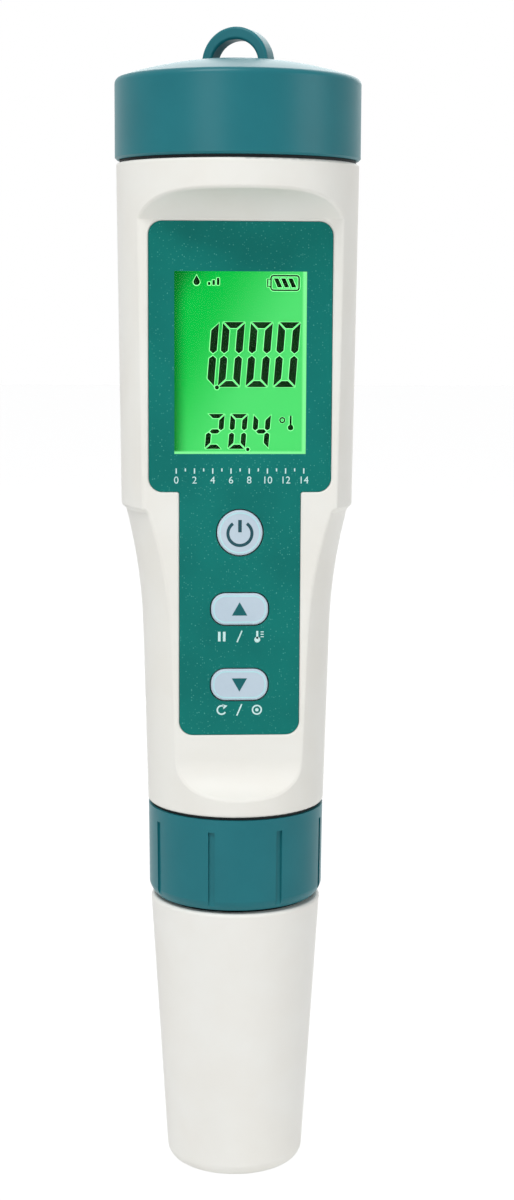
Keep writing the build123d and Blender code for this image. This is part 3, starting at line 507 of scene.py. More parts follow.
# Silicone cast over a lamp's chip: a milky block that shines
LAMP_RESIN = Lit("lamp_resin", "F3F7D8", "E8EEC0", 0.25, grain=0.2, relief=0.002, strength=1.0)
# Conducting and plain silicone pressed in layers: dark lines drawn about three times their real width
ZEBRA_SILICONE = DrawnMetal("layered_silicone", "C58E98", "2A2224", 0.6, grain=0.18, relief=0.003,
                            along=Axis.Z)
# Glass laminate under sprayed solder mask: glossy green over paler tracks
SOLDER_MASK = Laminate("solder_mask", "0F4F2B", "1C6A3C", 0.3, grain=0.5, relief=0.004)
# Epoxy transfer-moulded round a chip: matt black with a fine tooth
BLACK_EPOXY = Finish("black_epoxy", "16171A", "202226", 0.55, grain=0.12, relief=0.004)
# Steel cans and leads dipped in tin: bright with faint lines
TINNED = DrawnMetal("tinned_can", "C9CBCD", "B2B4B6", 0.28, metallic=1.0, grain=0.15, relief=0.001,
                    along=Axis.X)
# ABS keytops moulded smooth: pale and a touch glossier than the housing
KEY_ABS = Finish("blue_grey_abs", "C0D0DC", "BACBD8", 0.38, grain=0.2, relief=0.002)
# A painted highlight along each key's rounded edge, then pad-printed inks, each an even coat with a soft
# sheen
KEY_EDGE_HIGHLIGHT = Finish("key_edge_painted_highlight", "B9E4E8", "B2DEE4", 0.35, grain=0.2, relief=0.001)
KEY_INK = Finish("key_print", "12666A", "0F5C60", 0.4, grain=0.2, relief=0.001)
POWER_INK = Finish("power_print", "24505A", "1E4650", 0.4, grain=0.2, relief=0.001)
WHITE_INK = Finish("white_print", "CFEDEB", "C4E6E4", 0.45, grain=0.15, relief=0.001)
# Acetal moulded in its natural amber: waxy and smooth
ACETAL = Finish("natural_acetal", "D8A246", "CE983E", 0.35, grain=0.3, relief=0.002)
# Nitrile rubber pressed in a blasted mould: dull black
NITRILE = Finish("nitrile_rubber", "121719", "1A2022", 0.62, grain=0.3, relief=0.006)
# Nickel plated over drawn cups: bright with lines along the draw
NICKEL = DrawnMetal("nickel_plate", "CFCFCB", "B9B8B3", 0.22, metallic=1.0, grain=0.2, relief=0.0008,
                    along=Axis.Z)
# Rolled spring strip: warm grey with fine lines
SPRING_STEEL = DrawnMetal("spring_steel", "BDBBB4", "A5A39C", 0.3, metallic=1.0, grain=0.2, relief=0.001)
# Zinc plated over cold-headed steel: a cool grey, lightly clouded
ZINC = DrawnMetal("zinc_plate", "B4B6B8", "9EA0A4", 0.32, metallic=1.0, grain=0.25, relief=0.002,
                  along=Axis.X)
# Polycarbonate moulded black: deep and satin
BLACK_PC = Finish("black_polycarbonate", "191B1E", "222529", 0.4, grain=0.25, relief=0.004)
# Thin soda glass blown by mouth: clear, with slow waves
BLOWN_GLASS = ClearMoulding("blown_glass", "EAF6F4", "EAF6F4", 0.02, 1.47, relief=0.002, mottle=3.0)
# Sintered alumina, unglazed: chalky with open pores
JUNCTION = Porous("porous_ceramic", "EFEBDF", "CFC8B4", 0.8, grain=0.25, relief=0.02)
# Platinum rod, polished: a warm mirror
PLATINUM = DrawnMetal("platinum", "DAD7D1", "CBC8C1", 0.14, metallic=1.0, grain=0.12, relief=0.0006)
# Titanium turned on a lathe: darker grey with rings round the pin
TITANIUM = DrawnMetal("turned_titanium", "9C9791", "87827C", 0.33, metallic=1.0, grain=0.15, relief=0.001,
                      along=Axis.X)
# Stainless tube drawn and polished: faint lines along it
STAINLESS = DrawnMetal("drawn_stainless", "B9BABB", "A4A5A7", 0.24, metallic=1.0, grain=0.15, relief=0.0008)
# Nylon moulded with glass fibre: black with a rough tooth
BLACK_NYLON = Finish("black_nylon", "1B1C1E", "25272A", 0.5, grain=0.3, relief=0.005)
# Gold flashed over brass pins: yellow and bright
GOLD = DrawnMetal("gold_plate", "D9B45A", "C9A24A", 0.18, metallic=1.0, grain=0.1, relief=0.0005)
# Open-cell foam cut from a block and soaked: straw-coloured, with pores that can be felt
SPONGE = Porous("wet_sponge", "DDD29A", "A89A5C", 0.7, grain=0.7, relief=0.25)
# Silver wire coated in an acid bath: dull brownish grey
SILVER_CHLORIDE = Finish("silver_chloride", "8E8A88", "6E6A6A", 0.7, grain=0.2, relief=0.02)

FINISH_OF_SLOT = {
    "housing_plastic": IVORY_ABS, "teal_plastic": TEAL_ABS, "overlay_film": TEAL_FILM,
    "clear_window": ACRYLIC, "display_glass": CELL_GLASS, "frame_plastic": WHITE_ABS,
    "light_guide": GREEN_GUIDE, "lamp": LAMP_RESIN,
    "contact_rubber": ZEBRA_SILICONE, "circuit_board": SOLDER_MASK, "chip_resin": BLACK_EPOXY,
    "component_metal": TINNED, "key_plastic": KEY_ABS, "plunger_plastic": ACETAL, "seal_rubber": NITRILE,
    "cell_steel": NICKEL, "contact_steel": SPRING_STEEL, "screw_steel": ZINC, "electrode_plastic": BLACK_PC,
    "bulb_glass": BLOWN_GLASS, "junction_ceramic": JUNCTION, "platinum": PLATINUM, "titanium": TITANIUM,
    "probe_steel": STAINLESS, "connector_plastic": BLACK_NYLON, "pin_gold": GOLD, "cap_plastic": IVORY_PP,
    "sponge_foam": SPONGE,
}


def add_object(name: str, data: bpy.types.ID) -> bpy.types.Object:
    """Puts an object with the given data into the scene.

    Args:
        name: the object's name.
        data: its mesh, curve, light or camera.

    Returns:
        The object.
    """
    made = bpy.data.objects.new(name, data)
    bpy.context.scene.collection.objects.link(made)
    return made


def add_piece(name: str, points: np.ndarray, faces: list, finish: Finish, body: str, slot: str,
              smooth: bool = True) -> bpy.types.Object:
    """Makes a mesh object that rides on a body.

    Args:
        name: the piece's name.
        points: vertices in millimetres, one row each.
        faces: vertex numbers of each face.
        finish: what it is made of.
        body: the moving body that it belongs to.
        slot: the record's material slot; not used.
        smooth: whether its faces are shaded smooth.

    Returns:
        The object.
    """
    mesh = bpy.data.meshes.new(name)
    mesh.from_pydata((points * MM).tolist(), [], [list(face) for face in faces])
    mesh.polygons.foreach_set("use_smooth", np.full(len(mesh.polygons), smooth))
    mesh.materials.append(finish.material())
    mesh.validate()
    mesh.update()
    piece = add_object(name, mesh)
    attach(piece, body)
    log.info("%s rides on %s", name, body)
    return piece


def grid_faces(rows: int, columns: int, wrap_rows: bool, wrap_columns: bool) -> np.ndarray:
    """Quads of a grid of points.

    Face (i, j) joins points (i, j), (i, j+1), (i+1, j+1) and (i+1, j), counted modulo the size where it
    wraps.

    Args:
        rows: points along the first parameter.
        columns: points along the second.
        wrap_rows: whether the last row joins the first.
        wrap_columns: whether the last column joins the first.

    Returns:
        Vertex numbers, four to a row.
    """
    along, across = np.arange(rows - (not wrap_rows)), np.arange(columns - (not wrap_columns))
    i, j = np.meshgrid(along, across, indexing="ij")
    down, right = (i + 1) % rows, (j + 1) % columns
    corners = [i * columns + j, i * columns + right, down * columns + right, down * columns + j]
    return np.stack([corner.ravel() for corner in corners], axis=1)


def lathe(profile: np.ndarray, turns: int = 96) -> tuple[np.ndarray, list]:
    """Turns a closed profile about the Z axis.

    Point (s, a) lies at radius r(s) and height z(s), a full turn divided evenly, so x is r times the cosine
    of a and y is r times its sine. The profile runs anticlockwise in the (radius, height) plane, so that
    the faces look outwards.

    Args:
        profile: radius and height of each point, in order round the section.
        turns: points round the axis.

    Returns:
        Points and faces.
    """
    turn = np.linspace(0, 2 * np.pi, turns, endpoint=False)
    radius, height = profile[:, 0][None, :], profile[:, 1][None, :]
    points = np.stack([radius * np.cos(turn)[:, None], radius * np.sin(turn)[:, None],
                       np.broadcast_to(height, (turns, len(profile)))], axis=2)
    return points.reshape(-1, 3), grid_faces(turns, len(profile), True, True)[:, ::-1].tolist()


@dataclass(frozen=True)
class PackedBox:
    """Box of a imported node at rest, in millimetres.

    Attributes:
        low: its lowest x, y and z.
        high: its highest x, y and z.
    """

    low: np.ndarray
    high: np.ndarray

    @classmethod
    def of(cls, node: str) -> "PackedBox":
        """Reads a node's box from the frame, rounded to a micron.

        Args:
            node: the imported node's name.

        Returns:
            Its box.
        """
        low, high = (np.round(np.array(corner) / MM, 3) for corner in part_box(node))
        return cls(low, high)

    @property
    def front(self) -> float:
        """Depth of the front face, in front of the axis."""
        return -float(self.low[1])

    @property
    def foot(self) -> float:
        """Height of the lower end."""
        return float(self.low[2])

    @property
    def middle(self) -> float:
        """Height halfway up."""
        return float(self.low[2] + self.high[2]) / 2

    @property
    def size(self) -> np.ndarray:
        """Lengths along x, y and z."""
        return self.high - self.low


@dataclass
class Thread:
    """A helical ridge of a moulded screw thread.

    Attributes:
        name: the piece's name.
        body: the body that it rides on.
        finish: the plastic that it is moulded in.
        slot: the record's material slot.
        radius: radius of the wall that carries it.
        rise: height of the ridge; below 0 it stands inwards.
        pitch: rise of the helix in one turn.
        start: height of the ridge's first point.
        turns: turns of the helix.
        foot: width of the ridge at the wall.
        crest: width at its top.
        sink: depth of its foot in the wall.
        steps: sections in a turn.
        run_in: turns over which each end grows to the full ridge.
        low_end: where on that growth the very end starts, from 0 to 1.
        slim_end: share of the width that the end keeps.
    """

    name: str
    body: str
    finish: Finish
    slot: str
    radius: float
    rise: float
    pitch: float
    start: float
    turns: float
    foot: float = 1.1
    crest: float = 0.45
    sink: float = 0.15
    steps: int = 72
    run_in: float = 0.125
    low_end: float = 0.02
    slim_end: float = 0.4

    def build(self) -> bpy.types.Object:
        """Sweeps the ridge's section along the helix.

        At angle a the section stands at height start + pitch * a / full turn. Its four corners are the
        foot's two ends, sunk in the wall, and the crest's two ends, raised by the rise times a smooth step
        that grows to 1 over the run-in at each end.

        Returns:
            The ridge.
        """
        count = int(self.steps * self.turns)
        turn = np.linspace(0, self.turns, count)
        growth = np.clip(np.minimum(turn, self.turns - turn) / self.run_in, self.low_end, 1)
        taper = (growth * growth * (3 - 2 * growth))[:, None]
        inward = self.rise < 0
        sunk = self.radius + (self.sink if inward else -self.sink)
        corners = np.array([[0, -self.foot / 2], [1, -self.crest / 2], [1, self.crest / 2],
                            [0, self.foot / 2]])[::-1 if inward else 1]
        radius = np.where(corners[:, 0] > 0, self.radius + self.rise * taper, sunk)
        width = self.slim_end + (1 - self.slim_end) * taper
        height = self.start + self.pitch * turn[:, None] + corners[:, 1] * width
        angle = (2 * np.pi * turn)[:, None]
        points = np.stack([radius * np.cos(angle), radius * np.sin(angle), height], axis=2).reshape(-1, 3)
        faces = grid_faces(count, 4, False, True)[:, ::-1].tolist()
        last = 4 * (count - 1)
        faces += [[0, 1, 2, 3], [last + 3, last + 2, last + 1, last]]
        return add_piece(self.name, points, faces, self.finish, self.body, self.slot, smooth=False)


@dataclass
class Print:
    """A thin layer of flat shapes that face the front.

    Attributes:
        name: the piece's name.
        finish: its ink or film.
        body: the body that it rides on.
        slot: the record's material slot.
        back: depth of the surface that carries it, in front of the axis.
        thickness: how far it stands out from that surface.
        capital: height of a capital, as a share of the built-in face's size.
        points: arrays of the vertices added so far.
        faces: vertex numbers of the faces added so far.
    """

    name: str
    finish: Finish
    body: str
    slot: str
    back: float
    thickness: float = 0.02
    capital: float = 0.7
    points: list = field(default_factory=list)
    faces: list = field(default_factory=list)

    @staticmethod
    def at_depth(outline: np.ndarray, depth: float) -> np.ndarray:
        """Places x and z pairs at a depth in front of the axis."""
        return np.stack([outline[:, 0], np.full(len(outline), -depth), outline[:, 1]], axis=1)

    def polygon(self, outline: np.ndarray) -> None:
        """Adds a filled outline.

        Each corner is doubled, one on the carrying surface and one a thickness in front of it; the two rings
        are capped and joined by quads. The outline is reversed where its signed area is negative.

        Args:
            outline: x and z of its corners in order.
        """
        outline = anticlockwise(outline)
        count, first = len(outline), sum(len(part) for part in self.points)
        self.points += [self.at_depth(outline, depth) for depth in (self.back + self.thickness, self.back)]
        front = np.arange(count) + first
        back, after = front + count, np.roll(front, -1)
        self.faces.append(front.tolist())
        self.faces.append(back[::-1].tolist())
        self.faces += np.stack([front, back, np.roll(back, -1), after], axis=1).tolist()

    def stroke(self, path: np.ndarray, width: float, closed: bool = False) -> None:
        """Adds a line of even width.

        Each point of the path is moved half the width to either side along the normal of the line through
        its neighbours. The two rails, at the front and at the back, are joined by quads.

        Args:
            path: x and z along the line's middle.
            width: the line's width.
            closed: whether it ends where it starts.
        """
        if closed:
            ahead, behind = np.roll(path, -1, axis=0), np.roll(path, 1, axis=0)
        else:
            ahead = np.vstack([path[1:], path[-1:]])
            behind = np.vstack([path[:1], path[:-1]])
        run = ahead - behind
        normal = np.stack([-run[:, 1], run[:, 0]], axis=1)
        normal /= np.linalg.norm(normal, axis=1)[:, None]
        right, left = path - normal * width / 2, path + normal * width / 2
        front = self.back + self.thickness
        first, count = sum(len(part) for part in self.points), len(path)
        ring = [self.at_depth(rail, depth)
                for rail, depth in ((right, front), (left, front), (left, self.back), (right, self.back))]
        self.points.append(np.stack(ring, axis=1).reshape(-1, 3))
        self.faces += (grid_faces(count, 4, closed, True)[:, ::-1] + first).tolist()
        if not closed:
            last = first + 4 * (count - 1)
            self.faces += [[first + 3, first + 2, first + 1, first], [last, last + 1, last + 2, last + 3]]

    def disc(self, centre: tuple[float, float], radius: float, sides: int = 32) -> None:
        """Adds a filled circle, whose corners lie at even turns round its centre."""
        self.polygon(arc(centre, radius, 0, 360, sides + 1)[:-1])

    def words(self, text: str, centre: tuple[float, float], height: float) -> None:
        """Adds figures in the plain built-in face.

        The face's own plane is turned upright, so its y becomes z and its depth becomes minus y.

        Args:
            text: the figures.
            centre: x and z of their middle.
            height: height of a capital.
        """
        curve = bpy.data.curves.new(self.name + "_text", "FONT")
        curve.body, curve.size = text, height / self.capital
        curve.align_x, curve.align_y = "CENTER", "CENTER"
        curve.extrude, curve.resolution_u = self.thickness / 2, 4
        holder = add_object(curve.name, curve)
        bpy.context.view_layer.update()
        mesh = bpy.data.meshes.new_from_object(holder.evaluated_get(bpy.context.evaluated_depsgraph_get()))
        flat = np.zeros(3 * len(mesh.vertices))
        mesh.vertices.foreach_get("co", flat)
        flat = flat.reshape(-1, 3)
        first = sum(len(part) for part in self.points)
        self.points.append(np.stack([flat[:, 0] + centre[0], -flat[:, 2] - self.back - self.thickness / 2,
                                     flat[:, 1] + centre[1]], axis=1))
        self.faces += [[first + corner for corner in face.vertices] for face in mesh.polygons]
        bpy.data.objects.remove(holder)
        bpy.data.curves.remove(curve)
        bpy.data.meshes.remove(mesh)

    def build(self) -> bpy.types.Object:
        """Makes the layer's mesh object."""
        return add_piece(self.name, np.vstack(self.points), self.faces, self.finish, self.body, self.slot,
                         smooth=False)


def arc(centre: tuple[float, float], radius: float, start: float, end: float, count: int = 32) -> np.ndarray:
    """Points of a circular arc.

    Each is the centre plus the radius times the cosine and sine of an angle that runs evenly in degrees.

    Args:
        centre: x and z of the centre.
        radius: the radius.
        start: first angle, from +x towards +z.
        end: last angle.
        count: number of points.

    Returns:
        x and z, one row each.
    """
    angle = np.radians(np.linspace(start, end, count))
    return np.array(centre) + radius * np.stack([np.cos(angle), np.sin(angle)], axis=1)


def rounded(centre: tuple[float, float], width: float, height: float, corner: float) -> np.ndarray:
    """Outline of a rectangle with round corners: a quarter arc about each corner's own centre, in order.

    Args:
        centre: x and z of its middle.
        width: its width.
        height: its height.
        corner: radius of its corners.

    Returns:
        x and z, one row each, anticlockwise.
    """
    x, z = width / 2 - corner, height / 2 - corner
    corners = [((x, z), 0), ((-x, z), 90), ((-x, -z), 180), ((x, -z), 270)]
    return np.vstack([arc((centre[0] + cx, centre[1] + cz), corner, start, start + 90, 9)
                      for (cx, cz), start in corners])


def anticlockwise(outline: np.ndarray) -> np.ndarray:
    """Reverses an outline whose signed area, half the sum of x * next z - next x * z, is below 0."""
    x, z = outline[:, 0], outline[:, 1]
    return outline[::-1] if np.sum(x * np.roll(z, -1) - np.roll(x, -1) * z) < 0 else outline


def grown(outline: np.ndarray, by: float) -> np.ndarray:
    """Moves each side of a convex outline outwards.

    With unit normals n1 and n2 of the two sides at a corner, the corner moves by
    (n1 + n2) * by / (1 + n1.n2), where the divisor is kept at 0.5 or more so that a sharp corner stays near
    its place.

    Args:
        outline: x and z of the corners in order.
        by: distance.

    Returns:
        The larger outline.
    """
    outline = anticlockwise(outline)
    run = np.roll(outline, -1, axis=0) - outline
    after = np.stack([run[:, 1], -run[:, 0]], axis=1) / np.linalg.norm(run, axis=1)[:, None]
    before = np.roll(after, 1, axis=0)
    spread = np.maximum(1 + np.sum(after * before, axis=1), 0.5)[:, None]
    return outline + (after + before) * by / spread


def line(*points: tuple[float, float]) -> np.ndarray:
    """A path through the given x and z pairs."""
    return np.array(points)


# Segments that each digit lights, by their usual letters
SEGMENTS_OF = {"0": "abcdef", "1": "bc", "2": "abged", "4": "fgbc"}


@dataclass
class SegmentRow:
    """A row of slanted seven-segment digits.

    Attributes:
        text: the digits, with a point after the digit that it follows.
        foot: height of the digits' lower edge.
        lefts: left edge of each digit's cell at its foot.
        width: width of a digit.
        height: height of a digit.
        stroke: width of a segment.
        dot: radius of the point.
        gap: space between two segments.
        slant: sideways lean for each millimetre of height.
        end_share: height of the top and foot bars, in strokes.
        waist_share: from half height to where a side bar starts to narrow, in strokes.
        cross_share: half the height of the bar across, in strokes.
        dot_right: from a digit's right edge to the point's middle, in radii.
        dot_drop: from the digits' foot down to the point's middle, in radii.
    """

    text: str
    foot: float
    lefts: tuple[float, ...]
    width: float
    height: float
    stroke: float
    dot: float
    gap: float = 0.16
    slant: float = 0.08
    end_share: float = 0.85
    waist_share: float = 0.55
    cross_share: float = 0.42
    dot_right: float = 1.4
    dot_drop: float = 0.2

    def segments(self) -> dict[str, np.ndarray]:
        """Outline of each segment in a digit's own upright box.

        They are trapezoids at the top and foot, five-sided bars at the sides that come to a point at half
        height, and a six-sided bar across. The lower and the right-hand ones mirror the others.

        Returns:
            Outlines by the segment's usual letter.
        """
        w, h, t, g = self.width, self.height, self.stroke, self.gap
        half, end = h / 2, h - self.end_share * t
        waist, cross = half + self.waist_share * t, self.cross_share * t
        top = line((g, h), (w - g, h), (w - t - g / 2, end), (t + g / 2, end))
        side = line((0, h - g), (t, h - t - g), (t, waist), (t / 2, half + g), (0, waist))
        across = line((t / 2 + g, half), (t + g / 2, half + cross), (w - t - g / 2, half + cross),
                      (w - t / 2 - g, half), (w - t - g / 2, half - cross), (t + g / 2, half - cross))
        turn_over, mirror = np.array([1, -1]), np.array([-1, 1])
        return {"a": top, "d": top * turn_over + [0, h], "f": side, "e": side * turn_over + [0, h],
                "b": side * mirror + [w, 0], "c": side * turn_over * mirror + [w, h], "g": across}

    def outlines(self) -> list[np.ndarray]:
        """Outline of each lit segment, leaning sideways by the slant times its height.

        Returns:
            One outline for each segment, and one for each point.
        """
        shapes = self.segments()
        found = []
        places = iter(self.lefts)
        left = 0.0
        for letter in self.text:
            if letter == ".":
                right, drop = left + self.width + self.dot_right * self.dot, self.dot_drop * self.dot
                found.append(arc((right, self.foot - drop), self.dot, 0, 345, 24))
                continue
            left = next(places)
            for key in SEGMENTS_OF[letter]:
                shape = shapes[key]
                found.append(np.stack([shape[:, 0] + left + self.slant * shape[:, 1],
                                       shape[:, 1] + self.foot], axis=1))
        return found


@dataclass
class Display:
    """What the liquid crystal cell shows, on its front glass behind the clear window.

    Places are x and z from the middle of the cell.

    Attributes:
        cell: box of the cell.
        edge: width of the pale edge round each dark segment.
        pale_layer: thickness of the pale edges' layer.
        dark_layer: thickness of the dark segments' layer in front of it.
        reading_foot: height of the large digits' foot.
        warmth_foot: height of the small digits' foot.
        bars: foot of the first of the battery sign's bars.
        bar_pitch: from one of these bars to the next.
        steps: middle of the first of the three rising bars.
        battery: middle of the battery sign.
        degree: middle of the degree sign.
        thermometer: middle of the thermometer's bulb.
        drop: middle of the droplet.
    """

    cell: PackedBox
    edge: float = 0.1
    pale_layer: float = 0.02
    dark_layer: float = 0.03
    reading_foot: float = -3.85
    warmth_foot: float = -13.8
    bars: tuple[float, float] = (5.98, 12.05)
    bar_pitch: float = 1.14
    steps: tuple[float, float] = (-5.0, 12.62)
    battery: tuple[float, float] = (7.15, 12.75)
    degree: tuple[float, float] = (6.85, -9.15)
    thermometer: tuple[float, float] = (8.2, -10.35)
    drop: tuple[float, float] = (-7.0, 13.05)

    def digits(self) -> list[np.ndarray]:
        """Outlines of the large reading and of the small one below it.

        Returns:
            One outline for each lit segment and point.
        """
        reading = SegmentRow("1.000", self.reading_foot, lefts=(-7.75, -3.6, 0.88, 5.34), width=3.55,
                             height=10.4, stroke=1.18, dot=0.34)
        warmth = SegmentRow("20.4", self.warmth_foot, lefts=(-5.68, -1.94, 1.8), width=2.8, height=5.65,
                            stroke=0.84, dot=0.3)
        return reading.outlines() + warmth.outlines()

    def small_bars(self) -> list[np.ndarray]:
        """Outlines of the battery sign's three leaning bars and of three bars of rising height.

        Returns:
            Six outlines.
        """
        leaning = line((0, 0), (0.72, 0), (0.1, 1.42), (-0.62, 1.42)) + self.bars
        rising = [rounded((self.steps[0] + 0.72 * step, self.steps[1] + 0.16 * step),
                          0.42, 0.5 + 0.32 * step, 0.1) for step in range(3)]
        return [leaning + [self.bar_pitch * bar, 0] for bar in range(3)] + rising

    def add_signs(self, layer: Print, extra: float) -> None:
        """Adds the battery's case and pole, the degree ring, the thermometer and the droplet.

        Args:
            layer: the print that takes them.
            extra: how much wider each line is than the dark ones.
        """
        up = np.array([0, self.cell.middle])
        layer.stroke(rounded(self.battery, 4.5, 2.3, 0.4) + up, 0.24 + extra, closed=True)
        pole = line((-2.35, -0.6), (-2.77, -0.6), (-2.77, 0.6), (-2.35, 0.6))
        layer.stroke(pole + self.battery + up, 0.22 + extra)
        layer.stroke(arc(self.degree, 0.38, 0, 345, 24) + up, 0.24 + extra / 2, closed=True)
        layer.stroke(line((0, 0.4), (0, 1.9)) + self.thermometer + up, 0.34 + extra)
        layer.disc(tuple(self.thermometer + up), 0.46 + extra / 2)
        layer.polygon(self.droplet(0.52 + extra / 2) + up)

    def droplet(self, radius: float) -> np.ndarray:
        """Outline of a drop: two thirds of a circle and a point above it.

        Args:
            radius: radius of its round foot.

        Returns:
            x and z, one row each.
        """
        x, z = self.drop
        round_ = arc((x, z - 0.35 * radius), radius, 150, 390, 25)
        return np.vstack([round_, [[x, z + 1.7 * radius]]])

    def build(self) -> list[bpy.types.Object]:
        """Makes the dark segments and the pale edge behind them.

        Returns:
            Both layers.
        """
        glass = self.cell.front
        dark = Print("display_segments", SEGMENT_INK, "housing_body", "display_glass",
                     glass + self.pale_layer, self.dark_layer)
        pale = Print("display_segment_edges", SEGMENT_EDGE, "housing_body", "display_glass",
                     glass, self.pale_layer)
        for outline in self.digits() + self.small_bars():
            dark.polygon(outline + [0, self.cell.middle])
            pale.polygon(grown(outline, self.edge) + [0, self.cell.middle])
        self.add_signs(dark, 0.0)
        self.add_signs(pale, 2 * self.edge)
        return [dark.build(), pale.build()]


@dataclass
class FrontPrint:
    """White print on the front overlay: a plain scale under the window and signs under the two arrow keys.

    Attributes:
        film: box of the overlay.
        window: box of the display window.
        up_key: box of the up key.
        down_key: box of the down key.
        tick_drop: from the window's foot down to the ticks' tops.
        tick_length: length of a tick that has a figure.
        tick_cut: how much shorter the ticks between them are.
        figure_drop: from the window's foot down to the figures' middle.
        figure_height: height of a figure.
        scale_half: half the scale's length.
        last_figure: last figure of the scale.
        up_drop: from the up key's middle down to the signs under it.
        down_drop: the same under the down key.
        sign_side: from the axis to the middle of a sign.
    """

    film: PackedBox
    window: PackedBox
    up_key: PackedBox
    down_key: PackedBox
    tick_drop: float = 0.7
    tick_length: float = 0.85
    tick_cut: float = 0.35
    figure_drop: float = 2.65
    figure_height: float = 1.15
    scale_half: float = 10.3
    last_figure: int = 14
    up_drop: float = 4.53
    down_drop: float = 4.23
    sign_side: float = 2.9

    def build(self) -> bpy.types.Object:
        """Makes the print as one layer.

        Returns:
            The layer.
        """
        layer = Print("front_print", WHITE_INK, "housing_body", "overlay_film", self.film.front)
        self.scale(layer)
        self.hold_signs(layer, self.up_key.middle - self.up_drop)
        self.mode_signs(layer, self.down_key.middle - self.down_drop)
        return layer.build()

    def scale(self, layer: Print) -> None:
        """Adds the ticks, with a figure under every second one.

        Args:
            layer: the print that takes them.
        """
        top = self.window.foot - self.tick_drop
        for figure in range(self.last_figure + 1):
            x = self.scale_half * (2 * figure / self.last_figure - 1)
            tall = figure % 2 == 0
            foot = top - self.tick_length + (0 if tall else self.tick_cut)
            layer.stroke(line((x, foot), (x, top)), 0.2)
            if tall:
                layer.words(str(figure), (x, self.window.foot - self.figure_drop), self.figure_height)

    @staticmethod
    def slash(layer: Print, z: float) -> None:
        """Adds the leaning stroke between two signs."""
        layer.stroke(line((-0.4, z - 0.95), (0.4, z + 0.95)), 0.22)

    def hold_signs(self, layer: Print, z: float) -> None:
        """Adds two upright bars, a stroke and a thermometer.

        Args:
            layer: the print that takes them.
            z: height of their middle.
        """
        for x in (-self.sign_side - 0.4, -self.sign_side + 0.4):
            layer.stroke(line((x, z - 0.8), (x, z + 0.8)), 0.42)
        self.slash(layer, z)
        x = self.sign_side
        layer.disc((x, z - 0.52), 0.48)
        layer.stroke(line((x, z - 0.4), (x, z + 0.9)), 0.34)
        for step in range(3):
            mark = z + 0.75 - 0.4 * step
            layer.stroke(line((x + 0.55, mark), (x + 1.05, mark)), 0.16)

    def mode_signs(self, layer: Print, z: float) -> None:
        """Adds a turning arrow, a stroke and a target.

        Args:
            layer: the print that takes them.
            z: height of their middle.
        """
        arrow, target = (-self.sign_side, z), (self.sign_side, z)
        layer.stroke(arc(arrow, 0.7, 60, 330), 0.26)
        layer.polygon(line((0.1, 0.95), (0.95, 0.72), (0.32, 0.12)) + arrow)
        self.slash(layer, z)
        layer.stroke(arc(target, 0.72, 0, 350, 36), 0.24, closed=True)
        layer.disc(target, 0.28)


@dataclass
class Keys:
    """A dark printed sign in the middle of each of the three keys, and a painted highlight line round the
    key's edge.

    Attributes:
        boxes: box of each key by its name, flange included.
        flange: how far the hidden flange stands out round the key's top.
        corner: radius of an arrow key's corners.
        edge: width of the painted highlight line.
        inset: from the key's edge to the line's middle.
        line_layer: thickness of the painted highlight line.
    """

    boxes: dict[str, PackedBox]
    flange: float = 0.9
    corner: float = 2.35
    edge: float = 0.22
    inset: float = 0.45
    line_layer: float = 0.012

    def build(self) -> list[bpy.types.Object]:
        """Makes the two layers of each key.

        Returns:
            Six layers.
        """
        made = []
        for name, box in self.boxes.items():
            ink = POWER_INK if name == "power_key" else KEY_INK
            place = {"body": f"{name}_body", "slot": "key_plastic", "back": box.front}
            sign = Print(f"{name}_sign", ink, **place)
            # painted highlight: a light line where each key's rounded edge catches the light
            highlight = Print(f"{name}_painted_edge_highlight", KEY_EDGE_HIGHLIGHT, thickness=self.line_layer, **place)
            z = box.middle
            width, height = (length - 2 * (self.flange + self.inset) for length in box.size[[0, 2]])
            if name == "power_key":
                sign.stroke(arc((0, z - 0.1), 1.95, 125, 415, 64), 0.5)
                sign.stroke(line((0, z + 0.1), (0, z + 2.1)), 0.58)
                highlight.stroke(arc((0, z), width / 2, 0, 354, 60), self.edge, closed=True)
            else:
                way = 1 if name == "up_key" else -1
                sign.polygon(line((-1.25, z - 1.05 * way), (1.25, z - 1.05 * way), (0, z + 1.15 * way)))
                highlight.stroke(rounded((0, z), width, height, self.corner - self.inset), self.edge, closed=True)
            made += [sign.build(), highlight.build()]
        return made


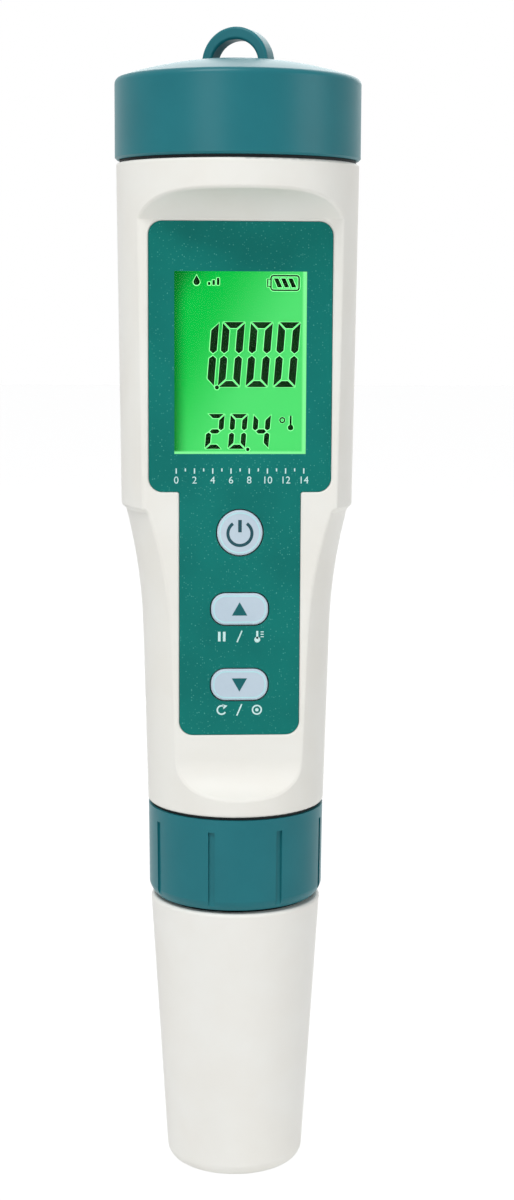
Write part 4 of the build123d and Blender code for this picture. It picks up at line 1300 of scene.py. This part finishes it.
@dataclass
class Threads:
    """Screw threads of the battery cap and the lock ring, each a ridge on the neck and one in the ring.

    The two ridges of a pair stand half a pitch apart all the way, at rest and as the cap turns.

    Attributes:
        cap: box of the battery cap.
        ring: box of the lock ring.
        cap_pitch: rise of the cap in a turn.
        ring_pitch: fall of the lock ring in a turn.
        cap_start: from the cap's foot up to its neck's ridge.
        ring_start: from the ring's foot up to its neck's ridge.
        upper_neck: radius of the neck under the cap.
        cap_bore: radius inside the cap's skirt.
        lower_neck: radius of the neck inside the lock ring.
        ring_bore: radius inside the lock ring.
        upper_rise: height of the cap's ridges.
        lower_rise: height of the lock ring's ridges.
    """

    cap: PackedBox
    ring: PackedBox
    cap_pitch: float = 3.0
    ring_pitch: float = 2.5
    cap_start: float = 1.7
    ring_start: float = 6.7
    upper_neck: float = 18.2
    cap_bore: float = 18.6
    lower_neck: float = 12.9
    ring_bore: float = 13.2
    upper_rise: float = 0.3
    lower_rise: float = 0.22

    def build(self) -> list[bpy.types.Object]:
        """Makes the four ridges.

        Returns:
            The ridges.
        """
        ivory = {"body": "housing_body", "finish": IVORY_ABS, "slot": "housing_plastic"}
        teal = {"finish": TEAL_ABS, "slot": "teal_plastic"}
        upper, lower = {"pitch": self.cap_pitch}, {"pitch": self.ring_pitch, "foot": 0.9, "crest": 0.35}
        up, down = self.cap.foot + self.cap_start, self.ring.foot + self.ring_start
        ridges = [
            Thread("upper_neck_thread", radius=self.upper_neck, rise=self.upper_rise, start=up, turns=2.0,
                   **upper, **ivory),
            Thread("battery_cap_thread", "battery_cap_body", radius=self.cap_bore, rise=-self.upper_rise,
                   start=up + self.cap_pitch / 2, turns=1.6, **upper, **teal),
            Thread("lower_neck_thread", radius=self.lower_neck, rise=self.lower_rise, start=down, turns=2.6,
                   **lower, **ivory),
            Thread("lock_ring_thread", "lock_ring_body", radius=self.ring_bore, rise=-self.lower_rise,
                   start=down + self.ring_pitch / 2, turns=2.2, **lower, **teal),
        ]
        return [ridge.build() for ridge in ridges]


@dataclass
class GlassElectrode:
    """Blown bulb on its tube, with the silver wire inside.

    Attributes:
        top: upper end of the tube.
        tube: outer radius of the tube.
        bulb: outer radius of the bulb.
        centre: height of the bulb's middle.
        wall: thickness of the glass.
        wire: radius of the wire.
        element: radius of the coated element at the wire's end.
        element_rise: from the bulb's middle up to the element's top.
        neck: height over which the element narrows to the wire.
        wire_gap: from the tube's end down to the wire's.
    """

    top: float = 24.4
    tube: float = 2.8
    bulb: float = 3.38
    centre: float = 13.5
    wall: float = 0.35
    wire: float = 0.28
    element: float = 0.55
    element_rise: float = 3.2
    neck: float = 0.5
    wire_gap: float = 0.3

    def shell(self, inset: float) -> np.ndarray:
        """Half outline of the bulb and tube from the tip up.

        The bulb is an arc from its tip to where it meets the tube's radius; the tube then runs straight up.

        Args:
            inset: how far inside the outer surface it lies.

        Returns:
            Radius and height, one row each.
        """
        bulb, tube = self.bulb - inset, self.tube - inset
        end = math.degrees(math.acos(tube / bulb))
        curve = arc((0, self.centre), bulb, -90, end, 36)
        curve[0, 0] = POLE
        return np.vstack([curve, [[tube, self.top]]])

    def build(self) -> list[bpy.types.Object]:
        """Makes the glass shell and the wire.

        Returns:
            Both pieces.
        """
        profile = np.vstack([self.shell(0), self.shell(self.wall)[::-1]])
        points, faces = lathe(profile, 64)
        glass = add_piece("ph_glass_bulb", points, faces, BLOWN_GLASS, "electrode_unit", "bulb_glass")
        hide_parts("glass_electrode")
        tip = arc((0, self.centre), self.element, -90, 0, 8)
        tip[0, 0] = POLE
        shoulder, end = self.centre + self.element_rise, self.top - self.wire_gap
        rod = np.vstack([tip, [[self.element, shoulder], [self.wire, shoulder + self.neck],
                               [self.wire, end], [POLE, end]]])
        points, faces = lathe(rod, 32)
        wire = add_piece("silver_wire", points, faces, SILVER_CHLORIDE, "electrode_unit", "bulb_glass")
        return [glass, wire]


@dataclass
class SoakingSponge:
    """Wet open-cell foam in the floor of the probe cap, crowned and a little uneven.

    Attributes:
        radius: its radius.
        foot: height of its underside.
        height: its thickness.
        corner: rounding of its edges.
        crown: rise of its middle.
        ripple: depth of the unevenness.
        still: height above its underside up to which nothing is rippled.
        turns: points round the axis.
        rows: points from the axis to the rounded edge.
        waves: number of random waves.
        wave_spread: spread of their frequency, in radians a millimetre.
        seed: start of the random draws.
    """

    radius: float = 9.15
    foot: float = 2.3
    height: float = 4.3
    corner: float = 0.7
    crown: float = 0.3
    ripple: float = 0.09
    still: float = 0.05
    turns: int = 144
    rows: int = 40
    waves: int = 24
    wave_spread: float = 2.6
    seed: int = 7

    def section(self) -> np.ndarray:
        """Half section from the middle of the underside, round the edge, to the middle of the top.

        The top rises by the crown times one minus the squared share of the radius.

        Returns:
            Radius and height, one row each.
        """
        low, high = self.foot + self.corner, self.foot + self.height - self.corner
        inner = self.radius - self.corner
        flat = np.linspace(POLE, inner, self.rows)
        under = np.stack([flat, np.full(self.rows, self.foot)], axis=1)
        side = np.vstack([arc((inner, low), self.corner, -90, 0, 8),
                          arc((inner, high), self.corner, 0, 90, 8)])
        top = np.stack([flat[::-1], np.full(self.rows, self.foot + self.height)], axis=1)
        profile = np.vstack([under[:-1], side, top[1:]])
        raised = self.crown * (1 - (profile[:, 0] / self.radius) ** 2)
        profile[:, 1] += np.where(profile[:, 1] > high, raised, 0)
        return profile

    def build(self) -> bpy.types.Object:
        """Turns the section about the axis and ripples it.

        Each point moves outwards from the middle by the ripple times a sum of sines, one for each wave, of
        the point times the wave's random direction plus a random phase.

        Returns:
            The sponge.
        """
        points, faces = lathe(self.section(), self.turns)
        draw = np.random.default_rng(self.seed)
        waves = draw.normal(size=(self.waves, 3)) * self.wave_spread
        phases = draw.uniform(0, 2 * np.pi, self.waves)
        ripple = np.sin(points @ waves.T + phases).sum(axis=1) / math.sqrt(self.waves / 2)
        reach = points - np.array([0, 0, self.foot + self.height / 2])
        outward = reach / np.maximum(np.linalg.norm(reach, axis=1), 0.5)[:, None]
        free = points[:, 2] > self.foot + self.still
        lifted = points + outward * (self.ripple * ripple * free)[:, None]
        sponge = add_piece("soaking_sponge", lifted, faces, SPONGE, "probe_cap_body", "sponge_foam")
        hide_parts("soak_sponge")
        return sponge


@dataclass
class Lamp:
    """A soft white area light.

    Attributes:
        name: its name.
        place: where it stands, in metres.
        size: side of its square, in metres.
        power: watts.
    """

    name: str
    place: tuple[float, float, float]
    size: float
    power: float


@dataclass
class Studio:
    """Plain pale floor, soft lights, pale surroundings and the camera.

    Attributes:
        floor_half: half the floor's side, in metres.
        floor_colour: sRGB hex with which the floor lights the object.
        floor_shade: how much of the lamps' light the camera sees on the floor.
        floor_glow: brightness of the floor where the object shades it fully.
        floor_clear: share of what lies below the floor that shows through it.
        aim: point that the lamps look at, in metres.
        daylight: strength of the surroundings' light.
        daylight_colour: its sRGB hex.
        eye: the camera's place, in millimetres.
        yaw: its turn to the left of +Y, in degrees.
        tilt: its turn down from level.
        roll: its turn about its own line of sight.
        lens: focal length for the sensor's height.
        sensor: height of the sensor.
        near: nearest distance that it sees, in metres.
        lamps: the lights.
    """

    floor_half: float = 3.0
    floor_colour: str = "F2F2F0"
    floor_shade: float = 0.12
    floor_glow: float = 0.96
    floor_clear: float = 0.7
    aim: tuple[float, float, float] = (0.0, 0.0, 0.1)
    daylight: float = 0.25
    daylight_colour: str = "F7F9FF"
    eye: tuple[float, float, float] = (-17.55, -346.43, 148.61)
    yaw: float = -3.474
    tilt: float = 8.419
    roll: float = -0.281
    lens: float = 62.63
    sensor: float = 36.0
    near: float = 0.01
    lamps: tuple[Lamp, ...] = (
        Lamp("key_light", (-0.36, -0.5, 1.1), 0.5, 8.6),
        Lamp("front_light", (-0.55, -1.0, 0.3), 0.5, 2.4),
        Lamp("side_light", (1.0, -0.45, 0.35), 0.6, 3.4),
        Lamp("back_light", (0.2, 0.8, 0.6), 0.7, 3.0),
    )

    def build(self) -> None:
        """Makes the stage round the object.

        It has the floor, the surroundings, the lamps and the camera.
        """
        self.floor()
        self.world()
        for lamp in self.lamps:
            self.light(lamp)
        self.camera()

    def floor(self) -> None:
        """Lays a flat square, seen as white except where the object shades it.

        A part that a joint lowers past the floor shows through it, because only a share of what the camera
        sees there is the floor's own. That share's light is stronger by as much.
        """
        half = self.floor_half
        mesh = bpy.data.meshes.new("studio_floor")
        mesh.from_pydata([(-half, -half, 0), (half, -half, 0), (half, half, 0), (-half, half, 0)], [],
                         [(0, 1, 2, 3)])
        made = bpy.data.materials.new("studio_floor")
        made.use_nodes = True
        tree = made.node_tree
        tree.nodes.clear()
        paint = add_node(tree, "ShaderNodeBsdfDiffuse", {"Color": linear(self.floor_colour)})
        own = 1 - self.floor_clear
        shade, glow = self.floor_shade / own, (self.floor_glow - self.floor_clear) / own
        faint = add_node(tree, "ShaderNodeBsdfDiffuse", {"Color": (shade, shade, shade, 1)})
        white = add_node(tree, "ShaderNodeEmission", {"Color": (1, 1, 1, 1), "Strength": glow})
        lit = add_node(tree, "ShaderNodeAddShader", {}, {0: faint.outputs[0], 1: white.outputs[0]})
        clear = add_node(tree, "ShaderNodeBsdfTransparent")
        seen = add_node(tree, "ShaderNodeMixShader", {0: self.floor_clear},
                        {1: lit.outputs[0], 2: clear.outputs[0]})
        mixed = add_node(tree, "ShaderNodeMixShader", {}, {0: self.seen(tree), 1: paint.outputs[0],
                                                           2: seen.outputs[0]})
        add_node(tree, "ShaderNodeOutputMaterial", {}, {"Surface": mixed.outputs[0]})
        mesh.materials.append(made)
        add_object("studio_floor", mesh)

    @staticmethod
    def seen(tree: bpy.types.NodeTree) -> bpy.types.NodeSocket:
        """Tells rays that look at a surface from rays that light the object.

        Args:
            tree: the material's or world's node tree.

        Returns:
            1 for rays from the camera, a reflection or a refraction, and 0 for the others.
        """
        path = add_node(tree, "ShaderNodeLightPath")
        either = add_node(tree, "ShaderNodeMath", {"operation": "MAXIMUM"},
                          {0: path.outputs["Is Camera Ray"], 1: path.outputs["Is Glossy Ray"]})
        return add_node(tree, "ShaderNodeMath", {"operation": "MAXIMUM"},
                        {0: either.outputs[0], 1: path.outputs["Is Transmission Ray"]}).outputs[0]

    def world(self) -> None:
        """Makes the surroundings.

        They are white for rays that look at them, and they light the object at the daylight level.
        """
        world = bpy.data.worlds.new("studio")
        bpy.context.scene.world = world
        world.use_nodes = True
        tree = world.node_tree
        tree.nodes.clear()
        light = add_node(tree, "ShaderNodeBackground", {"Color": linear(self.daylight_colour),
                                                        "Strength": self.daylight})
        white = add_node(tree, "ShaderNodeBackground", {"Color": (1, 1, 1, 1), "Strength": 1.0})
        mixed = add_node(tree, "ShaderNodeMixShader", {}, {0: self.seen(tree), 1: light.outputs[0],
                                                           2: white.outputs[0]})
        add_node(tree, "ShaderNodeOutputWorld", {}, {"Surface": mixed.outputs[0]})

    def light(self, lamp: Lamp) -> None:
        """Adds an area light that looks at the middle of the object.

        Args:
            lamp: the light to add.
        """
        data = bpy.data.lights.new(lamp.name, "AREA")
        data.size, data.energy = lamp.size, lamp.power
        made = add_object(lamp.name, data)
        made.location = lamp.place
        made.rotation_euler = (Vector(self.aim) - Vector(lamp.place)).to_track_quat("-Z", "Y").to_euler()

    def camera(self) -> None:
        """Adds the camera from its place, yaw, tilt and roll.

        It looks along (-sin yaw cos tilt, cos yaw cos tilt, -sin tilt). Its right is level and is then
        turned about that line by the roll.
        """
        yaw, tilt, roll = (math.radians(angle) for angle in (self.yaw, self.tilt, self.roll))
        ahead = Vector((-math.sin(yaw) * math.cos(tilt), math.cos(yaw) * math.cos(tilt), -math.sin(tilt)))
        level = Vector((math.cos(yaw), math.sin(yaw), 0))
        down = ahead.cross(level)
        right = math.cos(roll) * level + math.sin(roll) * down
        up = math.sin(roll) * level - math.cos(roll) * down
        data = bpy.data.cameras.new("studio_camera")
        data.sensor_fit, data.sensor_height = "VERTICAL", self.sensor
        data.lens, data.clip_start = self.lens, self.near
        made = add_object("studio_camera", data)
        turned = Matrix((right, up, -ahead)).transposed().to_4x4()
        made.matrix_world = Matrix.Translation(Vector(self.eye) * MM) @ turned
        bpy.context.scene.camera = made


def dress_nodes(frame: dict) -> None:
    """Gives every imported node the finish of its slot.
    """
    slots = {row["node"]: row["material_slot"] for row in frame["record"]["subparts"]}
    for name, node in frame["nodes"].items():
        finish = FINISH_OF_SLOT[slots[name]]
        node.data.materials.clear()
        node.data.materials.append(finish.material())
        log.info("%s is %s", name, finish.name)


def main() -> None:
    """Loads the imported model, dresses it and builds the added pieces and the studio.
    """
    logging.basicConfig(level=logging.INFO, format="%(message)s")
    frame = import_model()
    bpy.context.scene.view_settings.view_transform = "Standard"
    Studio().build()
    dress_nodes(frame)
    keys = {name: PackedBox.of(name) for name in ("power_key", "up_key", "down_key")}
    assemblies = (
        Threads(PackedBox.of("battery_cap"), PackedBox.of("lock_ring")),
        Display(PackedBox.of("lcd_panel")),
        FrontPrint(PackedBox.of("front_overlay"), PackedBox.of("display_window"), keys["up_key"],
                   keys["down_key"]),
        Keys(keys),
        GlassElectrode(),
        SoakingSponge(),
    )
    for assembly in assemblies:
        assembly.build()


if __name__ == "__main__":
    main()
